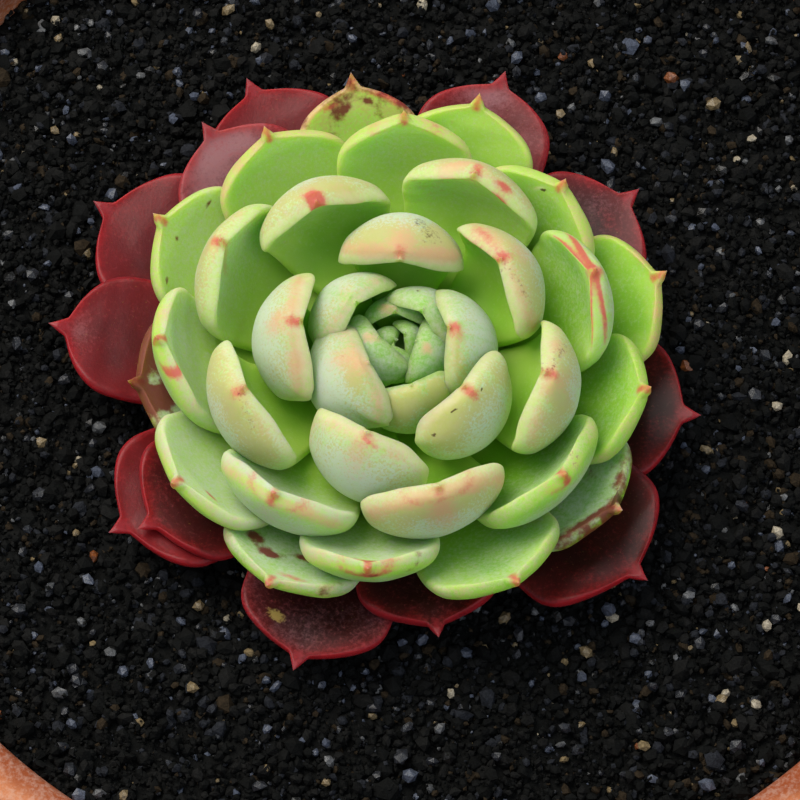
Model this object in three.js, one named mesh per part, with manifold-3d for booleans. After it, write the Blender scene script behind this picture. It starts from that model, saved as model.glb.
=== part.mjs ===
// A potted rosette succulent: a clay pot, its bed of black grit, and a rosette of fleshy pointed leaves on a
// short stem. Millimetres, +Z up. The origin is the middle of the pot's base.
import * as THREE from "three";
import { mergeVertices } from "three/addons/utils/BufferGeometryUtils.js";
import Module from "manifold-3d";

const wasm = await Module();
wasm.setup();

// ------------------------------------------------------------------------------------------- driving sizes
const GAP = 0.3; // clear space between two pieces that touch in the plant

// The pot
const POT_HEIGHT = 120;
const RIM_OUTER_RADIUS = 76;
const RIM_INNER_RADIUS = 68;
const RIM_BAND_HEIGHT = 30;
const RIM_BAND_TAPER = 2; // how much narrower the band is at its lower edge
const BODY_TOP_RADIUS = 69.5;
const BASE_RADIUS = 50;
const WALL = 7.5;
const WALL_UNDER_BAND = 4.5; // the wall where the band starts, inside of which the bore widens to the rim
const FLOOR = 9;
const DRAIN_RADIUS = 7;
const EDGE_ROUND = 2.5;
const POT_SEGMENTS = 60;

// The soil
const SOIL_LEVEL = 112;
const SOIL_RINGS = 15;
const SOIL_SECTORS = 40;
const GRAIN_HEIGHT = 1.6; // from the lowest to the highest grain, in the open soil
const SHELTERED_RADIUS = 42; // the soil lies smoother under the leaves
const SHELTER_FADE = 12;
const SHELTERED_SHARE = 0.35; // of the open soil's relief

// The plant
const PLANT_X = -1.8;
const PLANT_Y = -5.2;
const STEM_CLEARANCE = 1.2; // from the soil up to the zero of all heights on the plant
const GOLDEN_ANGLE = 137.5; // degrees from one leaf to the next older one, clockwise from above
const FIRST_LEAF_ANGLE = 156;
const CROWN_RADIUS = 8;
const CROWN_MIDDLE = 4;
const CROWN_TOP = 12.9;
const NECK_RADIUS = 6;
const NECK_TOP = 0;
const STEM_FOOT = -14;
const CROWN_SEGMENTS = 20;
const ROOT_DEPTH = 1.5; // how far a leaf is drawn into the crown before it is trimmed

// A leaf at some ages. Tip and belly are points of its midrib, first out from the stem's axis and then up.
// The root is a height on the crown. Hook is how far the spine at the tip turns out of the blade, in degrees.
const STAGES = [
  { age: 0, tip: [0.8, 15.6], belly: [2.2, 13.6], root: 12.7, width: 3.6, thick: 1.3, cup: 0.25, spine: 0.8,
    hook: 60 },
  { age: 3, tip: [2.2, 17.2], belly: [5.4, 13], root: 12.4, width: 7.4, thick: 1.9, cup: 0.24, spine: 0.9,
    hook: 60 },
  { age: 6, tip: [3.6, 19], belly: [8, 12.4], root: 12, width: 10.2, thick: 2.6, cup: 0.22, spine: 0.9,
    hook: 60 },
  { age: 9, tip: [6.6, 20.8], belly: [13, 11.6], root: 11.5, width: 12.8, thick: 3.2, cup: 0.2, spine: 1,
    hook: 60 },
  { age: 13, tip: [11.6, 22], belly: [17.5, 10.4], root: 10.8, width: 15, thick: 3.9, cup: 0.18, spine: 1.1,
    hook: 60 },
  { age: 16, tip: [16.8, 22.4], belly: [21.5, 9], root: 10, width: 15.8, thick: 4.2, cup: 0.15, spine: 1.3,
    hook: 55 },
  { age: 20, tip: [21.2, 21.4], belly: [22.8, 7.4], root: 8.8, width: 16.6, thick: 4.2, cup: 0.12, spine: 1.6,
    hook: 45 },
  { age: 24, tip: [25.4, 18.8], belly: [22.8, 5.6], root: 7.7, width: 16.8, thick: 4, cup: 0.1, spine: 2.1,
    hook: 25 },
  { age: 30, tip: [28.8, 15.5], belly: [22.2, 4.2], root: 6.1, width: 16.8, thick: 3.6, cup: 0.08, spine: 2.5,
    hook: 5 },
  { age: 39, tip: [31.5, 11.5], belly: [21.5, 2.6], root: 4, width: 16.6, thick: 3.2, cup: 0.06, spine: 2.5,
    hook: 0 },
  { age: 40, tip: [34, 6.8], belly: [21, 2.3], root: 3.8, width: 16.5, thick: 3.1, cup: 0.06, spine: 2.7,
    hook: 0 },
  { age: 48, tip: [36.5, 5.4], belly: [22, 1.9], root: 2.6, width: 17.5, thick: 2.9, cup: 0.05, spine: 2.9,
    hook: 0 },
  { age: 55, tip: [39, 4.4], belly: [23, 1.7], root: 1.6, width: 18.5, thick: 2.7, cup: 0.05, spine: 2.9,
    hook: 0 },
];

// How each leaf departs from the rule: turn in degrees, and then in millimetres reach outwards, extra width,
// swing of the whole blade to its left, skew of its tip to its left, and bend of its end over the rosette's
// middle. Ages that are missing are leaves that were shed.
const LEAVES = {
  0: [0, 0, 0, 0, 0, 0.8], 1: [2, 0, 0, 0, 0, 0], 2: [20, 0, 0, 0, 0, 1.5],
  3: [-14, 0, 0, 0, 0, 0], 4: [18, 0, 0, -0.5, 0, 1.2], 5: [34, -1, 0, -0.5, 0, 0],
  6: [-2, -1, 0, -1, 0, 0], 7: [14, 3, -1, -0.5, 0, 0], 8: [3, -0.5, 0, 1, 0, 0],
  9: [8, -0.5, 0, -1.5, 0, 0], 10: [-16, -3, 0, 2.5, 1, 1], 11: [2, 1.9, 0.5, 0, 0, 3.4],
  12: [14, 1, 0, -1.5, 0, 0], 13: [12, -0.8, 0.5, 0, 0.5, 0], 14: [-3, 0.5, 0, 0.5, 0, 0],
  15: [-10, -0.5, -1, 4, -0.5, 0.5], 16: [-2, 1.2, 0, 1, 1.5, 1.6], 17: [8, 0, 0, -2, -0.8, 0],
  18: [8, 0, 0, -0.5, 0, 0], 19: [5, 0.9, 0, -2, 0, 1.2], 20: [0, -0.5, 0, -1, 0, 0],
  21: [8, -0.5, 0, -1, 0, 0], 22: [7, -0.2, 0, -1, 0, 0], 23: [8, -0.3, 0, -2, 0, 0],
  24: [-5, 0.5, -1, -1.5, 0, 0], 25: [-2, -0.5, 0.5, 0, 0, 0], 26: [9, -0.5, -0.5, -1.5, -2, 0],
  27: [0, -1, 0, 0, 0, 0], 28: [2, 0, -1, -2, 0, 0], 29: [-10, 0.5, 0, 1, 0, 0],
  30: [0, -0.5, -1, -2, 0, 0], 31: [4, 0.3, 0.5, -1, 0, 0], 32: [-2, 1.5, -0.5, -1, 0, 0],
  33: [0, 1.2, 0, -2, 0, 0], 34: [-7, 0.5, 0, -2, 0, 0], 35: [-6, 0.5, 0, -1, 0, 0],
  36: [-2, 0.3, 0, 0, 0, 0], 37: [-10, 2.5, -2, 0, 0, 0], 38: [-9, -0.5, 0, 0, 0, 0],
  39: [-4, -2.5, 0, -1, 0, 0], 40: [15, 4, 0, 0, 0, 0], 41: [0, -3.5, 0, 0, 0, 0],
  42: [-15, 2, 0, 0, 0, 0], 44: [-12, -2.5, 0, 0, 0, 0], 46: [7, 0, 2.5, 0, 0, 0],
  47: [-2, 2, -2, 0, 0, 0], 48: [3, -2, 0, 0, 0, 0], 49: [-6, -1.5, 0, 0, 0, 0],
  50: [-6, 2.3, 0, 0, 0, 0], 51: [8, -4.5, 0, 0, 0, 0], 52: [5, -2.5, 0, 0, 0, 0],
  55: [-5.5, 0.5, 0, 0, 0, 0],
};
const HEART_AGES = 6; // the leaves younger than this are one closed bud
const RED_FROM = 40; // the leaves from this age on have turned red

// The blade, as shares of its length or width
const WIDEST = 0.75;
const ROOT_WIDTH = 0.27;
const ROOT_THICKNESS = 0.34;
const THICKEST = 0.6;
const SWELLING = 1.5; // how late the blade widens and thickens from its root
const END_SHAPE = [2.2, 0.62]; // powers that round the blade off towards its tip
const RIM_THINNING = 0.72;
const DEEPEST = 1.5; // thickness at most, over half the width
const BLADE_END = 0.996; // where the spine takes over
const UPPER_SHARE = 0.12; // of the thickness that lies above the midrib's line, the rest is the round back
const BACK_SHAPE = 1.1;
const CUPPED = [0.25, 0.8]; // where the cupping starts and where it is full
const SWUNG = 0.6; // where the swing is full
const SKEWED_FROM = 0.5;
const BELLY_REACH = 0.6; // how far the belly follows the tip outwards
const BELLY_BEND = [0.25, 1.6]; // how far the belly goes out and up as the leaf's end bends over
const LEAF_STATIONS = 8;
const LEAF_SIDES = 10;
const BUD_STATIONS = 6;
const BUD_SIDES = 8;

// The bud's core, which joins the youngest leaves: radius and height of its rings, foot and top
const CORE_RINGS = [
  [2.4, 12],
  [2, 13],
  [1.2, 14.2],
];
const CORE_FOOT = 11.5;
const CORE_TOP = 15;
const CORE_SIDES = 8;

// ------------------------------------------------------------------------------------------------- helpers
const { lerp, clamp, degToRad, smoothstep } = THREE.MathUtils;
const UPRIGHT = Math.PI / 2; // turns a lathed or round solid's axis from Y to Z

// A quarter of a sine wave: quick at 0, level at 1.
function easeOut(share) {
  return Math.sin((clamp(share, 0, 1) * Math.PI) / 2);
}

// A closed surface through rings of points, shut by one point before the first ring and one behind the last.
function skin(rings, first, last) {
  const sides = rings[0].length;
  const points = [...rings.flat(), first, last];
  const [firstIndex, lastIndex] = [points.length - 2, points.length - 1];
  const faces = [];
  for (let side = 0; side < sides; side++) {
    const next = (side + 1) % sides;
    faces.push(firstIndex, next, side);
    for (let ring = 0; ring + 1 < rings.length; ring++) {
      const [near, far] = [ring * sides, (ring + 1) * sides];
      faces.push(near + side, near + next, far + side, near + next, far + next, far + side);
    }
    const end = (rings.length - 1) * sides;
    faces.push(end + side, end + next, lastIndex);
  }
  return new THREE.BufferGeometry().setFromPoints(points).setIndex(faces);
}

function solidOf(geometry) {
  const bare = geometry.clone().deleteAttribute("normal").deleteAttribute("uv");
  const merged = mergeVertices(bare, 1e-4);
  return new wasm.Manifold(
    new wasm.Mesh({
      numProp: 3,
      vertProperties: new Float32Array(merged.attributes.position.array),
      triVerts: new Uint32Array(merged.index.array),
    }),
  );
}

function geometryOf(solid) {
  const mesh = solid.getMesh();
  const geometry = new THREE.BufferGeometry();
  geometry.setAttribute("position", new THREE.BufferAttribute(mesh.vertProperties, mesh.numProp));
  geometry.setIndex(new THREE.BufferAttribute(mesh.triVerts, 1));
  geometry.computeVertexNormals();
  return geometry;
}

function largestBody(solid) {
  return solid.decompose().reduce((a, b) => (b.volume() > a.volume() ? b : a));
}

// A level ring of points around the Z axis.
function level(radius, height, sides) {
  return Array.from({ length: sides }, (_, side) => {
    const angle = (2 * Math.PI * side) / sides;
    return new THREE.Vector3(radius * Math.cos(angle), radius * Math.sin(angle), height);
  });
}

// ----------------------------------------------------------------------------------------------------- pot
const BAND_FOOT = POT_HEIGHT - RIM_BAND_HEIGHT;
const BAND_FOOT_INNER_RADIUS = BODY_TOP_RADIUS - WALL_UNDER_BAND;

function innerRadius(height) {
  if (height > BAND_FOOT) {
    return lerp(BAND_FOOT_INNER_RADIUS, RIM_INNER_RADIUS, (height - BAND_FOOT) / RIM_BAND_HEIGHT);
  }
  return lerp(BASE_RADIUS - WALL, BAND_FOOT_INNER_RADIUS, (height - FLOOR) / (BAND_FOOT - FLOOR));
}

// The points of a rounded corner, from one direction to another around its centre.
function corner(radius, height, fromDegrees, toDegrees, steps) {
  return Array.from({ length: steps + 1 }, (_, step) => {
    const angle = degToRad(lerp(fromDegrees, toDegrees, step / steps));
    return [radius + EDGE_ROUND * Math.cos(angle), height + EDGE_ROUND * Math.sin(angle)];
  });
}

function potGeometry() {
  const profile = [
    [DRAIN_RADIUS, FLOOR],
    [DRAIN_RADIUS, 0],
    ...corner(BASE_RADIUS - EDGE_ROUND, EDGE_ROUND, -90, 0, 1),
    [BODY_TOP_RADIUS, BAND_FOOT],
    ...corner(RIM_OUTER_RADIUS - RIM_BAND_TAPER - EDGE_ROUND, BAND_FOOT + EDGE_ROUND, -90, 0, 1),
    ...corner(RIM_OUTER_RADIUS - EDGE_ROUND, POT_HEIGHT - EDGE_ROUND, 0, 90, 2),
    ...corner(RIM_INNER_RADIUS + EDGE_ROUND, POT_HEIGHT - EDGE_ROUND, 90, 180, 2),
    [BAND_FOOT_INNER_RADIUS, BAND_FOOT],
    [BASE_RADIUS - WALL, FLOOR],
    [DRAIN_RADIUS, FLOOR],
  ].map(([radius, height]) => new THREE.Vector2(radius, height));
  return new THREE.LatheGeometry(profile, POT_SEGMENTS).rotateX(UPRIGHT);
}

// ---------------------------------------------------------------------------------------------------- soil
// A repeatable number from 0 to 1 for one grain, from the last digits of a steep sine.
function scatter(ring, sector) {
  const wave = Math.sin(ring * 12.9898 + sector * 78.233) * 43758.5453;
  return wave - Math.floor(wave);
}

// The grit's top, grain by grain, over the pot's filled inside, with a hole for the stem.
function soilSolid() {
  const edge = innerRadius(SOIL_LEVEL) - GAP;
  const rings = [];
  for (let ring = 1; ring <= SOIL_RINGS; ring++) {
    const radius = (edge * ring) / SOIL_RINGS;
    const open = smoothstep(radius, SHELTERED_RADIUS - SHELTER_FADE, SHELTERED_RADIUS);
    const relief = ring < SOIL_RINGS ? GRAIN_HEIGHT * lerp(SHELTERED_SHARE, 1, open) : 0;
    const points = level(radius, SOIL_LEVEL, SOIL_SECTORS);
    points.forEach((point, sector) => (point.z += (scatter(ring, sector) - 0.5) * relief));
    rings.push(points);
  }
  for (const height of [BAND_FOOT, FLOOR + GAP]) {
    rings.push(level(innerRadius(height) - GAP, height, SOIL_SECTORS));
  }
  const top = new THREE.Vector3(0, 0, SOIL_LEVEL);
  const bottom = new THREE.Vector3(0, 0, FLOOR + GAP);
  const bed = solidOf(skin(rings.reverse(), bottom, top));

  const holeFoot = SOIL_LEVEL + STEM_CLEARANCE + STEM_FOOT - GAP;
  const holeHeight = SOIL_LEVEL + 2 * GRAIN_HEIGHT - holeFoot;
  const hole = new THREE.CylinderGeometry(NECK_RADIUS + GAP, NECK_RADIUS + GAP, holeHeight, CROWN_SEGMENTS)
    .rotateX(UPRIGHT)
    .translate(PLANT_X, PLANT_Y, holeFoot + holeHeight / 2);
  return bed.subtract(solidOf(hole));
}

// --------------------------------------------------------------------------------------------------- crown
const CROWN_DOME = CROWN_TOP - CROWN_MIDDLE;

// The crown's radius at a height: a half ellipse over a neck that swells to meet it.
function crownRadius(height) {
  if (height > CROWN_MIDDLE) {
    return CROWN_RADIUS * Math.sqrt(1 - ((height - CROWN_MIDDLE) / CROWN_DOME) ** 2);
  }
  return lerp(NECK_RADIUS, CROWN_RADIUS, easeOut((height - NECK_TOP) / (CROWN_MIDDLE - NECK_TOP)));
}

function crownSolid(grow) {
  const neckHeights = [STEM_FOOT - grow, NECK_TOP, lerp(NECK_TOP, CROWN_MIDDLE, 0.25), CROWN_MIDDLE / 2];
  const neck = neckHeights.map((height) => level(crownRadius(height) + grow, height, CROWN_SEGMENTS));
  const dome = [0, 17, 34, 50, 65, 78].map((degrees) => {
    const angle = degToRad(degrees);
    const radius = (CROWN_RADIUS + grow) * Math.cos(angle);
    return level(radius, CROWN_MIDDLE + (CROWN_DOME + grow) * Math.sin(angle), CROWN_SEGMENTS);
  });
  const foot = new THREE.Vector3(0, 0, STEM_FOOT - grow);
  const top = new THREE.Vector3(0, 0, CROWN_TOP + grow);
  return solidOf(skin([...neck, ...dome], foot, top));
}

// -------------------------------------------------------------------------------------------------- leaves
function stageAt(age) {
  const next = Math.max(1, STAGES.findIndex((stage) => stage.age >= age));
  const [young, old] = [STAGES[next - 1], STAGES[next]];
  const share = (age - young.age) / (old.age - young.age);
  const mix = (name) => lerp(young[name], old[name], share);
  const point = (name) => new THREE.Vector2(...young[name]).lerp(new THREE.Vector2(...old[name]), share);
  return {
    tip: point("tip"),
    belly: point("belly"),
    root: new THREE.Vector2(crownRadius(mix("root")), mix("root")),
    width: mix("width"),
    thick: mix("thick"),
    cup: mix("cup"),
    spine: mix("spine"),
    hook: degToRad(mix("hook")),
  };
}

// Half the blade's width at a share of its length.
function halfWidth(along, width) {
  const rise = easeOut(along / WIDEST) ** SWELLING;
  const end = clamp((along - WIDEST) / (1 - WIDEST), 0, 1);
  return 0.5 * width * lerp(ROOT_WIDTH, 1, rise) * (1 - end ** END_SHAPE[0]) ** END_SHAPE[1];
}

// The blade's thickness at its midrib, at a share of its length.
function thicknessAt(along, thick) {
  const rise = easeOut(along / THICKEST) ** SWELLING;
  const end = clamp((along - THICKEST) / (1 - THICKEST), 0, 1);
  return thick * lerp(ROOT_THICKNESS, 1, rise) * (1 - RIM_THINNING * end ** 2);
}

// The leaf of one age as a solid, thicker all round by grow. Its midrib is a curve in a plane through the
// stem's axis. Across it lie a nearly flat upper face and a round back, and the blade's edges bend up by its
// cup.
function leafSolid(age, grow) {
  const { tip, belly, root, width, thick, cup, spine, hook } = stageAt(age);
  const [turn, reach, extraWidth, swing, skew, bend] = LEAVES[age];
  tip.x += reach - bend;
  belly.x += BELLY_REACH * reach + BELLY_BEND[0] * bend;
  belly.y += BELLY_BEND[1] * bend;
  root.addScaledVector(belly.clone().sub(root).normalize(), -ROOT_DEPTH);
  const midrib = new THREE.QuadraticBezierCurve(root, belly, tip);
  const azimuth = degToRad(FIRST_LEAF_ANGLE - GOLDEN_ANGLE * age + turn);
  const place = (out, left, up) =>
    new THREE.Vector3(
      out * Math.cos(azimuth) - left * Math.sin(azimuth),
      out * Math.sin(azimuth) + left * Math.cos(azimuth),
      up,
    );

  const [stations, sides] = age < HEART_AGES ? [BUD_STATIONS, BUD_SIDES] : [LEAF_STATIONS, LEAF_SIDES];
  const rings = [];
  for (let station = 0; station < stations; station++) {
    const along = BLADE_END * easeOut(station / (stations - 1));
    const centre = midrib.getPointAt(along);
    const ahead = midrib.getTangentAt(along);
    const half = halfWidth(along, width + extraWidth);
    const depth = Math.min(thicknessAt(along, thick), DEEPEST * half);
    const cupping = 2 * cup * smoothstep(along, ...CUPPED);
    const shift = swing * smoothstep(along, 0, SWUNG) + skew * smoothstep(along, SKEWED_FROM, 1);
    const ring = level(1, 0, sides).map(({ x: across, y: through }) => {
      const back = -(1 - UPPER_SHARE) * Math.abs(through) ** BACK_SHAPE;
      const face = through > 0 ? UPPER_SHARE * through : back;
      const tilt = Math.atan(2 * cupping * across);
      const outer = new THREE.Vector2(across, through).rotateAround(new THREE.Vector2(), tilt);
      const left = half * across + grow * outer.x + shift;
      const up = depth * face + cupping * half * across ** 2 + grow * outer.y;
      return place(centre.x - up * ahead.y, left, centre.y + up * ahead.x);
    });
    rings.push(ring);
  }

  const start = midrib.getPoint(0);
  const ahead = midrib.getTangent(1);
  const backwards = new THREE.Vector2(ahead.y, -ahead.x);
  const point = tip
    .clone()
    .addScaledVector(ahead, Math.cos(hook) * (spine + grow))
    .addScaledVector(backwards, Math.sin(hook) * (spine + grow));
  return solidOf(skin(rings, place(start.x, 0, start.y), place(point.x, swing + skew, point.y)));
}

// The bud at the rosette's middle: the youngest leaves, joined by a core.
function heartSolid(grow) {
  const rings = CORE_RINGS.map(([radius, height]) => level(radius + grow, height, CORE_SIDES));
  const core = skin(rings, new THREE.Vector3(0, 0, CORE_FOOT), new THREE.Vector3(0, 0, CORE_TOP + grow));
  let heart = solidOf(core);
  for (let age = 0; age < HEART_AGES; age++) heart = heart.add(leafSolid(age, grow));
  return heart;
}

// ------------------------------------------------------------------------------------------- the whole part
const CLAY = { color: 0xb5714c, roughness: 0.85, metalness: 0 };
const GRIT = { color: 0x24221f, roughness: 0.9, metalness: 0 };
const STEM = { color: 0x8a9a62, roughness: 0.7, metalness: 0 };
const YOUNG_LEAF = { color: 0xa9c48c, roughness: 0.55, metalness: 0 };
const GREEN_LEAF = { color: 0x86ab45, roughness: 0.5, metalness: 0 };
const RED_LEAF = { color: 0x7e2228, roughness: 0.5, metalness: 0 };
const PALE_UNTIL = 24; // the leaves younger than this show their pale backs

function addMesh(group, name, geometry, look) {
  const mesh = new THREE.Mesh(geometry, new THREE.MeshStandardMaterial(look));
  mesh.name = name;
  group.add(mesh);
}

function leafLook(age) {
  if (age >= RED_FROM) return RED_LEAF;
  return age < PALE_UNTIL ? YOUNG_LEAF : GREEN_LEAF;
}

const part = new THREE.Group();
addMesh(part, "pot", potGeometry(), CLAY);
addMesh(part, "soil", geometryOf(soilSolid()), GRIT);

const plant = new THREE.Group();
plant.position.set(PLANT_X, PLANT_Y, SOIL_LEVEL + STEM_CLEARANCE);
part.add(plant);
addMesh(plant, "crown", geometryOf(crownSolid(0)), STEM);

// Each leaf gives way to the crown and to all younger leaves, which lie above it.
const taken = [crownSolid(GAP)];
const heart = largestBody(heartSolid(0).subtract(taken[0]));
addMesh(plant, "heart", geometryOf(heart), YOUNG_LEAF);
taken.push(heartSolid(GAP));

const outerAges = Object.keys(LEAVES).map(Number).filter((age) => age >= HEART_AGES);
for (const age of outerAges) {
  const trimmed = taken.reduce((leaf, other) => leaf.subtract(other), leafSolid(age, 0));
  const name = `leaf_${String(age).padStart(2, "0")}`;
  addMesh(plant, name, geometryOf(largestBody(trimmed)), leafLook(age));
  taken.push(leafSolid(age, GAP));
}

export default part;
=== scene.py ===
import math

import bpy
import numpy as np
from bpy.props import FloatProperty, FloatVectorProperty, IntProperty, PointerProperty
from bpy.types import Operator, Panel, PropertyGroup
from mathutils import Matrix, Vector


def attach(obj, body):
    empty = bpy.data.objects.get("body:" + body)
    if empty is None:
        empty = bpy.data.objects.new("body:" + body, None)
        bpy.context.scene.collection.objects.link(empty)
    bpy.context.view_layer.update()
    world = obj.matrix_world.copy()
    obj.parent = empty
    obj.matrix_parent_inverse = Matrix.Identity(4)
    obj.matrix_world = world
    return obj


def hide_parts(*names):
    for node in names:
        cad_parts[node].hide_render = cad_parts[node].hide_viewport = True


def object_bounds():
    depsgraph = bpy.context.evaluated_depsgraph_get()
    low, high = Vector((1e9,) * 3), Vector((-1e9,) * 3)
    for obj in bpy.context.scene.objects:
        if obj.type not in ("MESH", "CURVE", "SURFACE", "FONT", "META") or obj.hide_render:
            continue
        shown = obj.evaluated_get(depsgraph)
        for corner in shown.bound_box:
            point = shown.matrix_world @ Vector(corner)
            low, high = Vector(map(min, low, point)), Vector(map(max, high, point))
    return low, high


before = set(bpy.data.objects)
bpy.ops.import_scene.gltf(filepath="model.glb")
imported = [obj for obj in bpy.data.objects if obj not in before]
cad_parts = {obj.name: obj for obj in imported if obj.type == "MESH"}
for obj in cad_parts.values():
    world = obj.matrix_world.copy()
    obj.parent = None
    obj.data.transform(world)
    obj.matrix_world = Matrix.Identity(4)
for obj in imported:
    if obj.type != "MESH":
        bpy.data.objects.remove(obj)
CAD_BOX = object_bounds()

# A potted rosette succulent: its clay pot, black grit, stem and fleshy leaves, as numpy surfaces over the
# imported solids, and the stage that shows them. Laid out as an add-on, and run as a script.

bl_info = {
    "name": "Potted Rosette Succulent",
    "version": (1, 0, 0),
    "blender": (4, 5, 0),
    "location": "3D View > Sidebar > Succulent",
    "description": "Builds a rosette of fleshy leaves in a clay pot of black grit",
    "category": "Add Mesh",
}

MM = 0.001  # sizes below are in millimetres, and meshes are in metres

# ---- the plant's rule
# Where the rosette's axis stands, and the height that all heights on the plant start from
PLANT_X, PLANT_Y, PLANT_Z = -1.8, -5.2, 113.2
GOLDEN_ANGLE = 137.5  # degrees from one leaf to the next older one, clockwise from above
FIRST_LEAF_ANGLE = 156.0  # the youngest leaf's, in degrees from +X towards +Y
# The crown that carries the leaves, and the stem under it, whose foot is in the soil
CROWN_RADIUS, CROWN_MIDDLE, CROWN_TOP = 8.0, 4.0, 12.9
NECK_RADIUS, STEM_FOOT = 6.0, -14.0
ROOT_DEPTH = 1.5  # how deep inside the crown a leaf starts

# A leaf by its age: tip and belly of its midrib, out from the axis and up, its root's height on the crown,
# the blade's width, thickness and cup, the spine's length, and the degrees that the spine turns backwards.
STAGES = {
    "age": (0, 3, 6, 9, 13, 16, 20, 24, 30, 39, 40, 48, 55),
    "tip_out": (0.8, 2.2, 3.6, 6.6, 11.6, 16.8, 21.2, 25.4, 28.8, 31.5, 34, 36.5, 39),
    "tip_up": (15.6, 17.2, 19, 20.8, 22, 22.4, 21.4, 18.8, 15.5, 11.5, 6.8, 5.4, 4.4),
    "belly_out": (2.2, 5.4, 8, 13, 17.5, 21.5, 22.8, 22.8, 22.2, 21.5, 21, 22, 23),
    "belly_up": (13.6, 13, 12.4, 11.6, 10.4, 9, 7.4, 5.6, 4.2, 2.6, 2.3, 1.9, 1.7),
    "root": (12.7, 12.4, 12, 11.5, 10.8, 10, 8.8, 7.7, 6.1, 4, 3.8, 2.6, 1.6),
    "width": (3.6, 7.4, 10.2, 12.8, 15, 15.8, 16.6, 16.8, 16.8, 16.6, 16.5, 17.5, 18.5),
    "thick": (1.3, 1.9, 2.6, 3.2, 3.9, 4.2, 4.2, 4, 3.6, 3.2, 3.1, 2.9, 2.7),
    "cup": (0.25, 0.24, 0.22, 0.2, 0.18, 0.15, 0.12, 0.1, 0.08, 0.06, 0.06, 0.05, 0.05),
    "spine": (0.8, 0.9, 0.9, 1, 1.1, 1.3, 1.6, 2.1, 2.5, 2.5, 2.7, 2.9, 2.9),
    "hook": (60, 60, 60, 60, 60, 55, 45, 25, 5, 0, 0, 0, 0),
}

# Leaves that have withered and been shed, and the oldest that is left
SHED, OLDEST = (43, 45, 53, 54), 55
AGES = [age for age in range(OLDEST + 1) if age not in SHED]
# How leaves depart from the rule, by age: turn in degrees, and in millimetres reach, extra width, swing, skew
# and bend.
DEPARTURES = {
    "turn": {1: 2, 2: 20, 3: -14, 4: 18, 5: 34, 6: -2, 7: 14, 8: 3, 9: 8, 10: -16, 11: 2, 12: 14, 13: 12,
        14: -3, 15: -10, 16: -2, 17: 8, 18: 8, 19: 5, 21: 8, 22: 7, 23: 8, 24: -5, 25: -2, 26: 9, 28: 2,
        29: -10, 31: 4, 32: -2, 34: -7, 35: -6, 36: -2, 37: -10, 38: -9, 39: -4, 40: 15, 42: -15, 44: -12,
        46: 7, 47: -2, 48: 3, 49: -6, 50: -6, 51: 8, 52: 5, 55: -5.5},
    "reach": {2: 1.2, 3: 0.6, 4: 1.4, 5: -1, 6: 0.1, 7: 3, 8: -0.5, 9: -0.5, 10: -1.8, 11: 1.9, 12: 1,
        13: -0.8, 14: 0.5, 15: -0.5, 16: 1.2, 19: 0.9, 20: -0.5, 21: -0.5, 22: -0.2, 23: -0.3, 24: 0.5,
        25: -0.5, 26: -0.5, 27: -1, 29: 0.5, 30: -0.5, 31: 0.3, 32: 1.5, 33: 1.2, 34: 0.5, 35: 0.5, 36: 0.3,
        37: 2.5, 38: -0.5, 39: -2.5, 40: 4, 41: -3.5, 42: 2, 44: -2.5, 47: 2, 48: -2, 49: -1.5, 50: 2.3,
        51: -4.5, 52: -2.5, 55: 0.5},
    "width": {7: -1, 11: 0.5, 13: 0.5, 15: -1, 24: -1, 25: 0.5, 26: -0.5, 28: -1, 30: -1, 31: 0.5, 32: -0.5,
        37: -2, 39: 1.4, 46: 2.5, 47: -2},
    "swing": {4: -0.5, 5: -0.5, 6: -1, 7: -0.5, 8: 1, 9: -1.5, 10: 2.5, 12: -1.5, 14: 0.5, 15: 4, 16: 1,
        17: -2, 18: -0.5, 19: -2, 20: -1, 21: -1, 22: -1, 23: -2, 24: -1.5, 26: -1.5, 28: -2, 29: 1, 30: -2,
        31: -1, 32: -1, 33: -2, 34: -2, 35: -1, 39: -1},
    "skew": {10: 1, 13: 0.5, 15: -0.5, 16: 1.5, 17: -0.8, 26: -2},
    "bend": {0: 0.8, 2: 1.5, 4: 1.2, 10: 1, 11: 3.4, 15: 0.5, 16: 1.6, 19: 1.2},
}
HEART_AGES = 6  # the leaves younger than this make up the solid named heart
PALE_UNTIL = 24  # the leaves younger than this carry a thick waxy bloom
RED_FROM = 40  # the leaves from this age on have turned red

# The blade, as shares of its length or width
WIDEST, ROOT_WIDTH = 0.75, 0.27
THICKEST, ROOT_THICKNESS, RIM_THINNING = 0.6, 0.34, 0.72
SWELLING = 1.5  # how late the blade widens and thickens from its root
YOUNG_END, GROWN_END = (2.4, 0.7), (3.0, 0.85)  # powers that round the blade off towards its tip
DEEPEST = 1.5  # thickness at most, over half the width
UPPER_SHARE = 0.12  # of the thickness that lies above the midrib's line
RIM_ROUND, RIM_MOST = 0.8, 0.42  # the rounded margin's radius in millimetres, and as a share of the thickness
BLADE_OVER_SPINE = 0.25  # how much of the spine's length the fine blade takes up
BACK_SHAPE, KEEL_SHAPE = 1.05, 1.3  # powers of the round back, at the belly and at the keeled end
KEELED_FROM = 0.6  # where the back starts to turn from the one into the other
CUPPED, SWUNG, SKEWED_FROM = (0.25, 0.8), 0.6, 0.5  # where the cup comes in, the swing ends, the skew starts
BELLY_REACH, BELLY_BEND = 0.6, (0.25, 1.6)  # how far the belly follows the reach, and the bend, out and up


# ---- colour
def linear(hex_colour):
    """Scene-linear red, green, blue and alpha of an sRGB hex colour: the sRGB curve undone, channel by
    channel."""
    channels = [int(hex_colour[i : i + 2], 16) / 255 for i in (1, 3, 5)]
    return (*[c / 12.92 if c <= 0.04045 else ((c + 0.055) / 1.055) ** 2.4 for c in channels], 1.0)


# ---- array functions
def quarter_wave(share):
    """A quarter of a sine wave over the share from 0 to 1: quick at 0, level at 1."""
    return np.sin(np.clip(share, 0, 1) * np.pi / 2)


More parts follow.
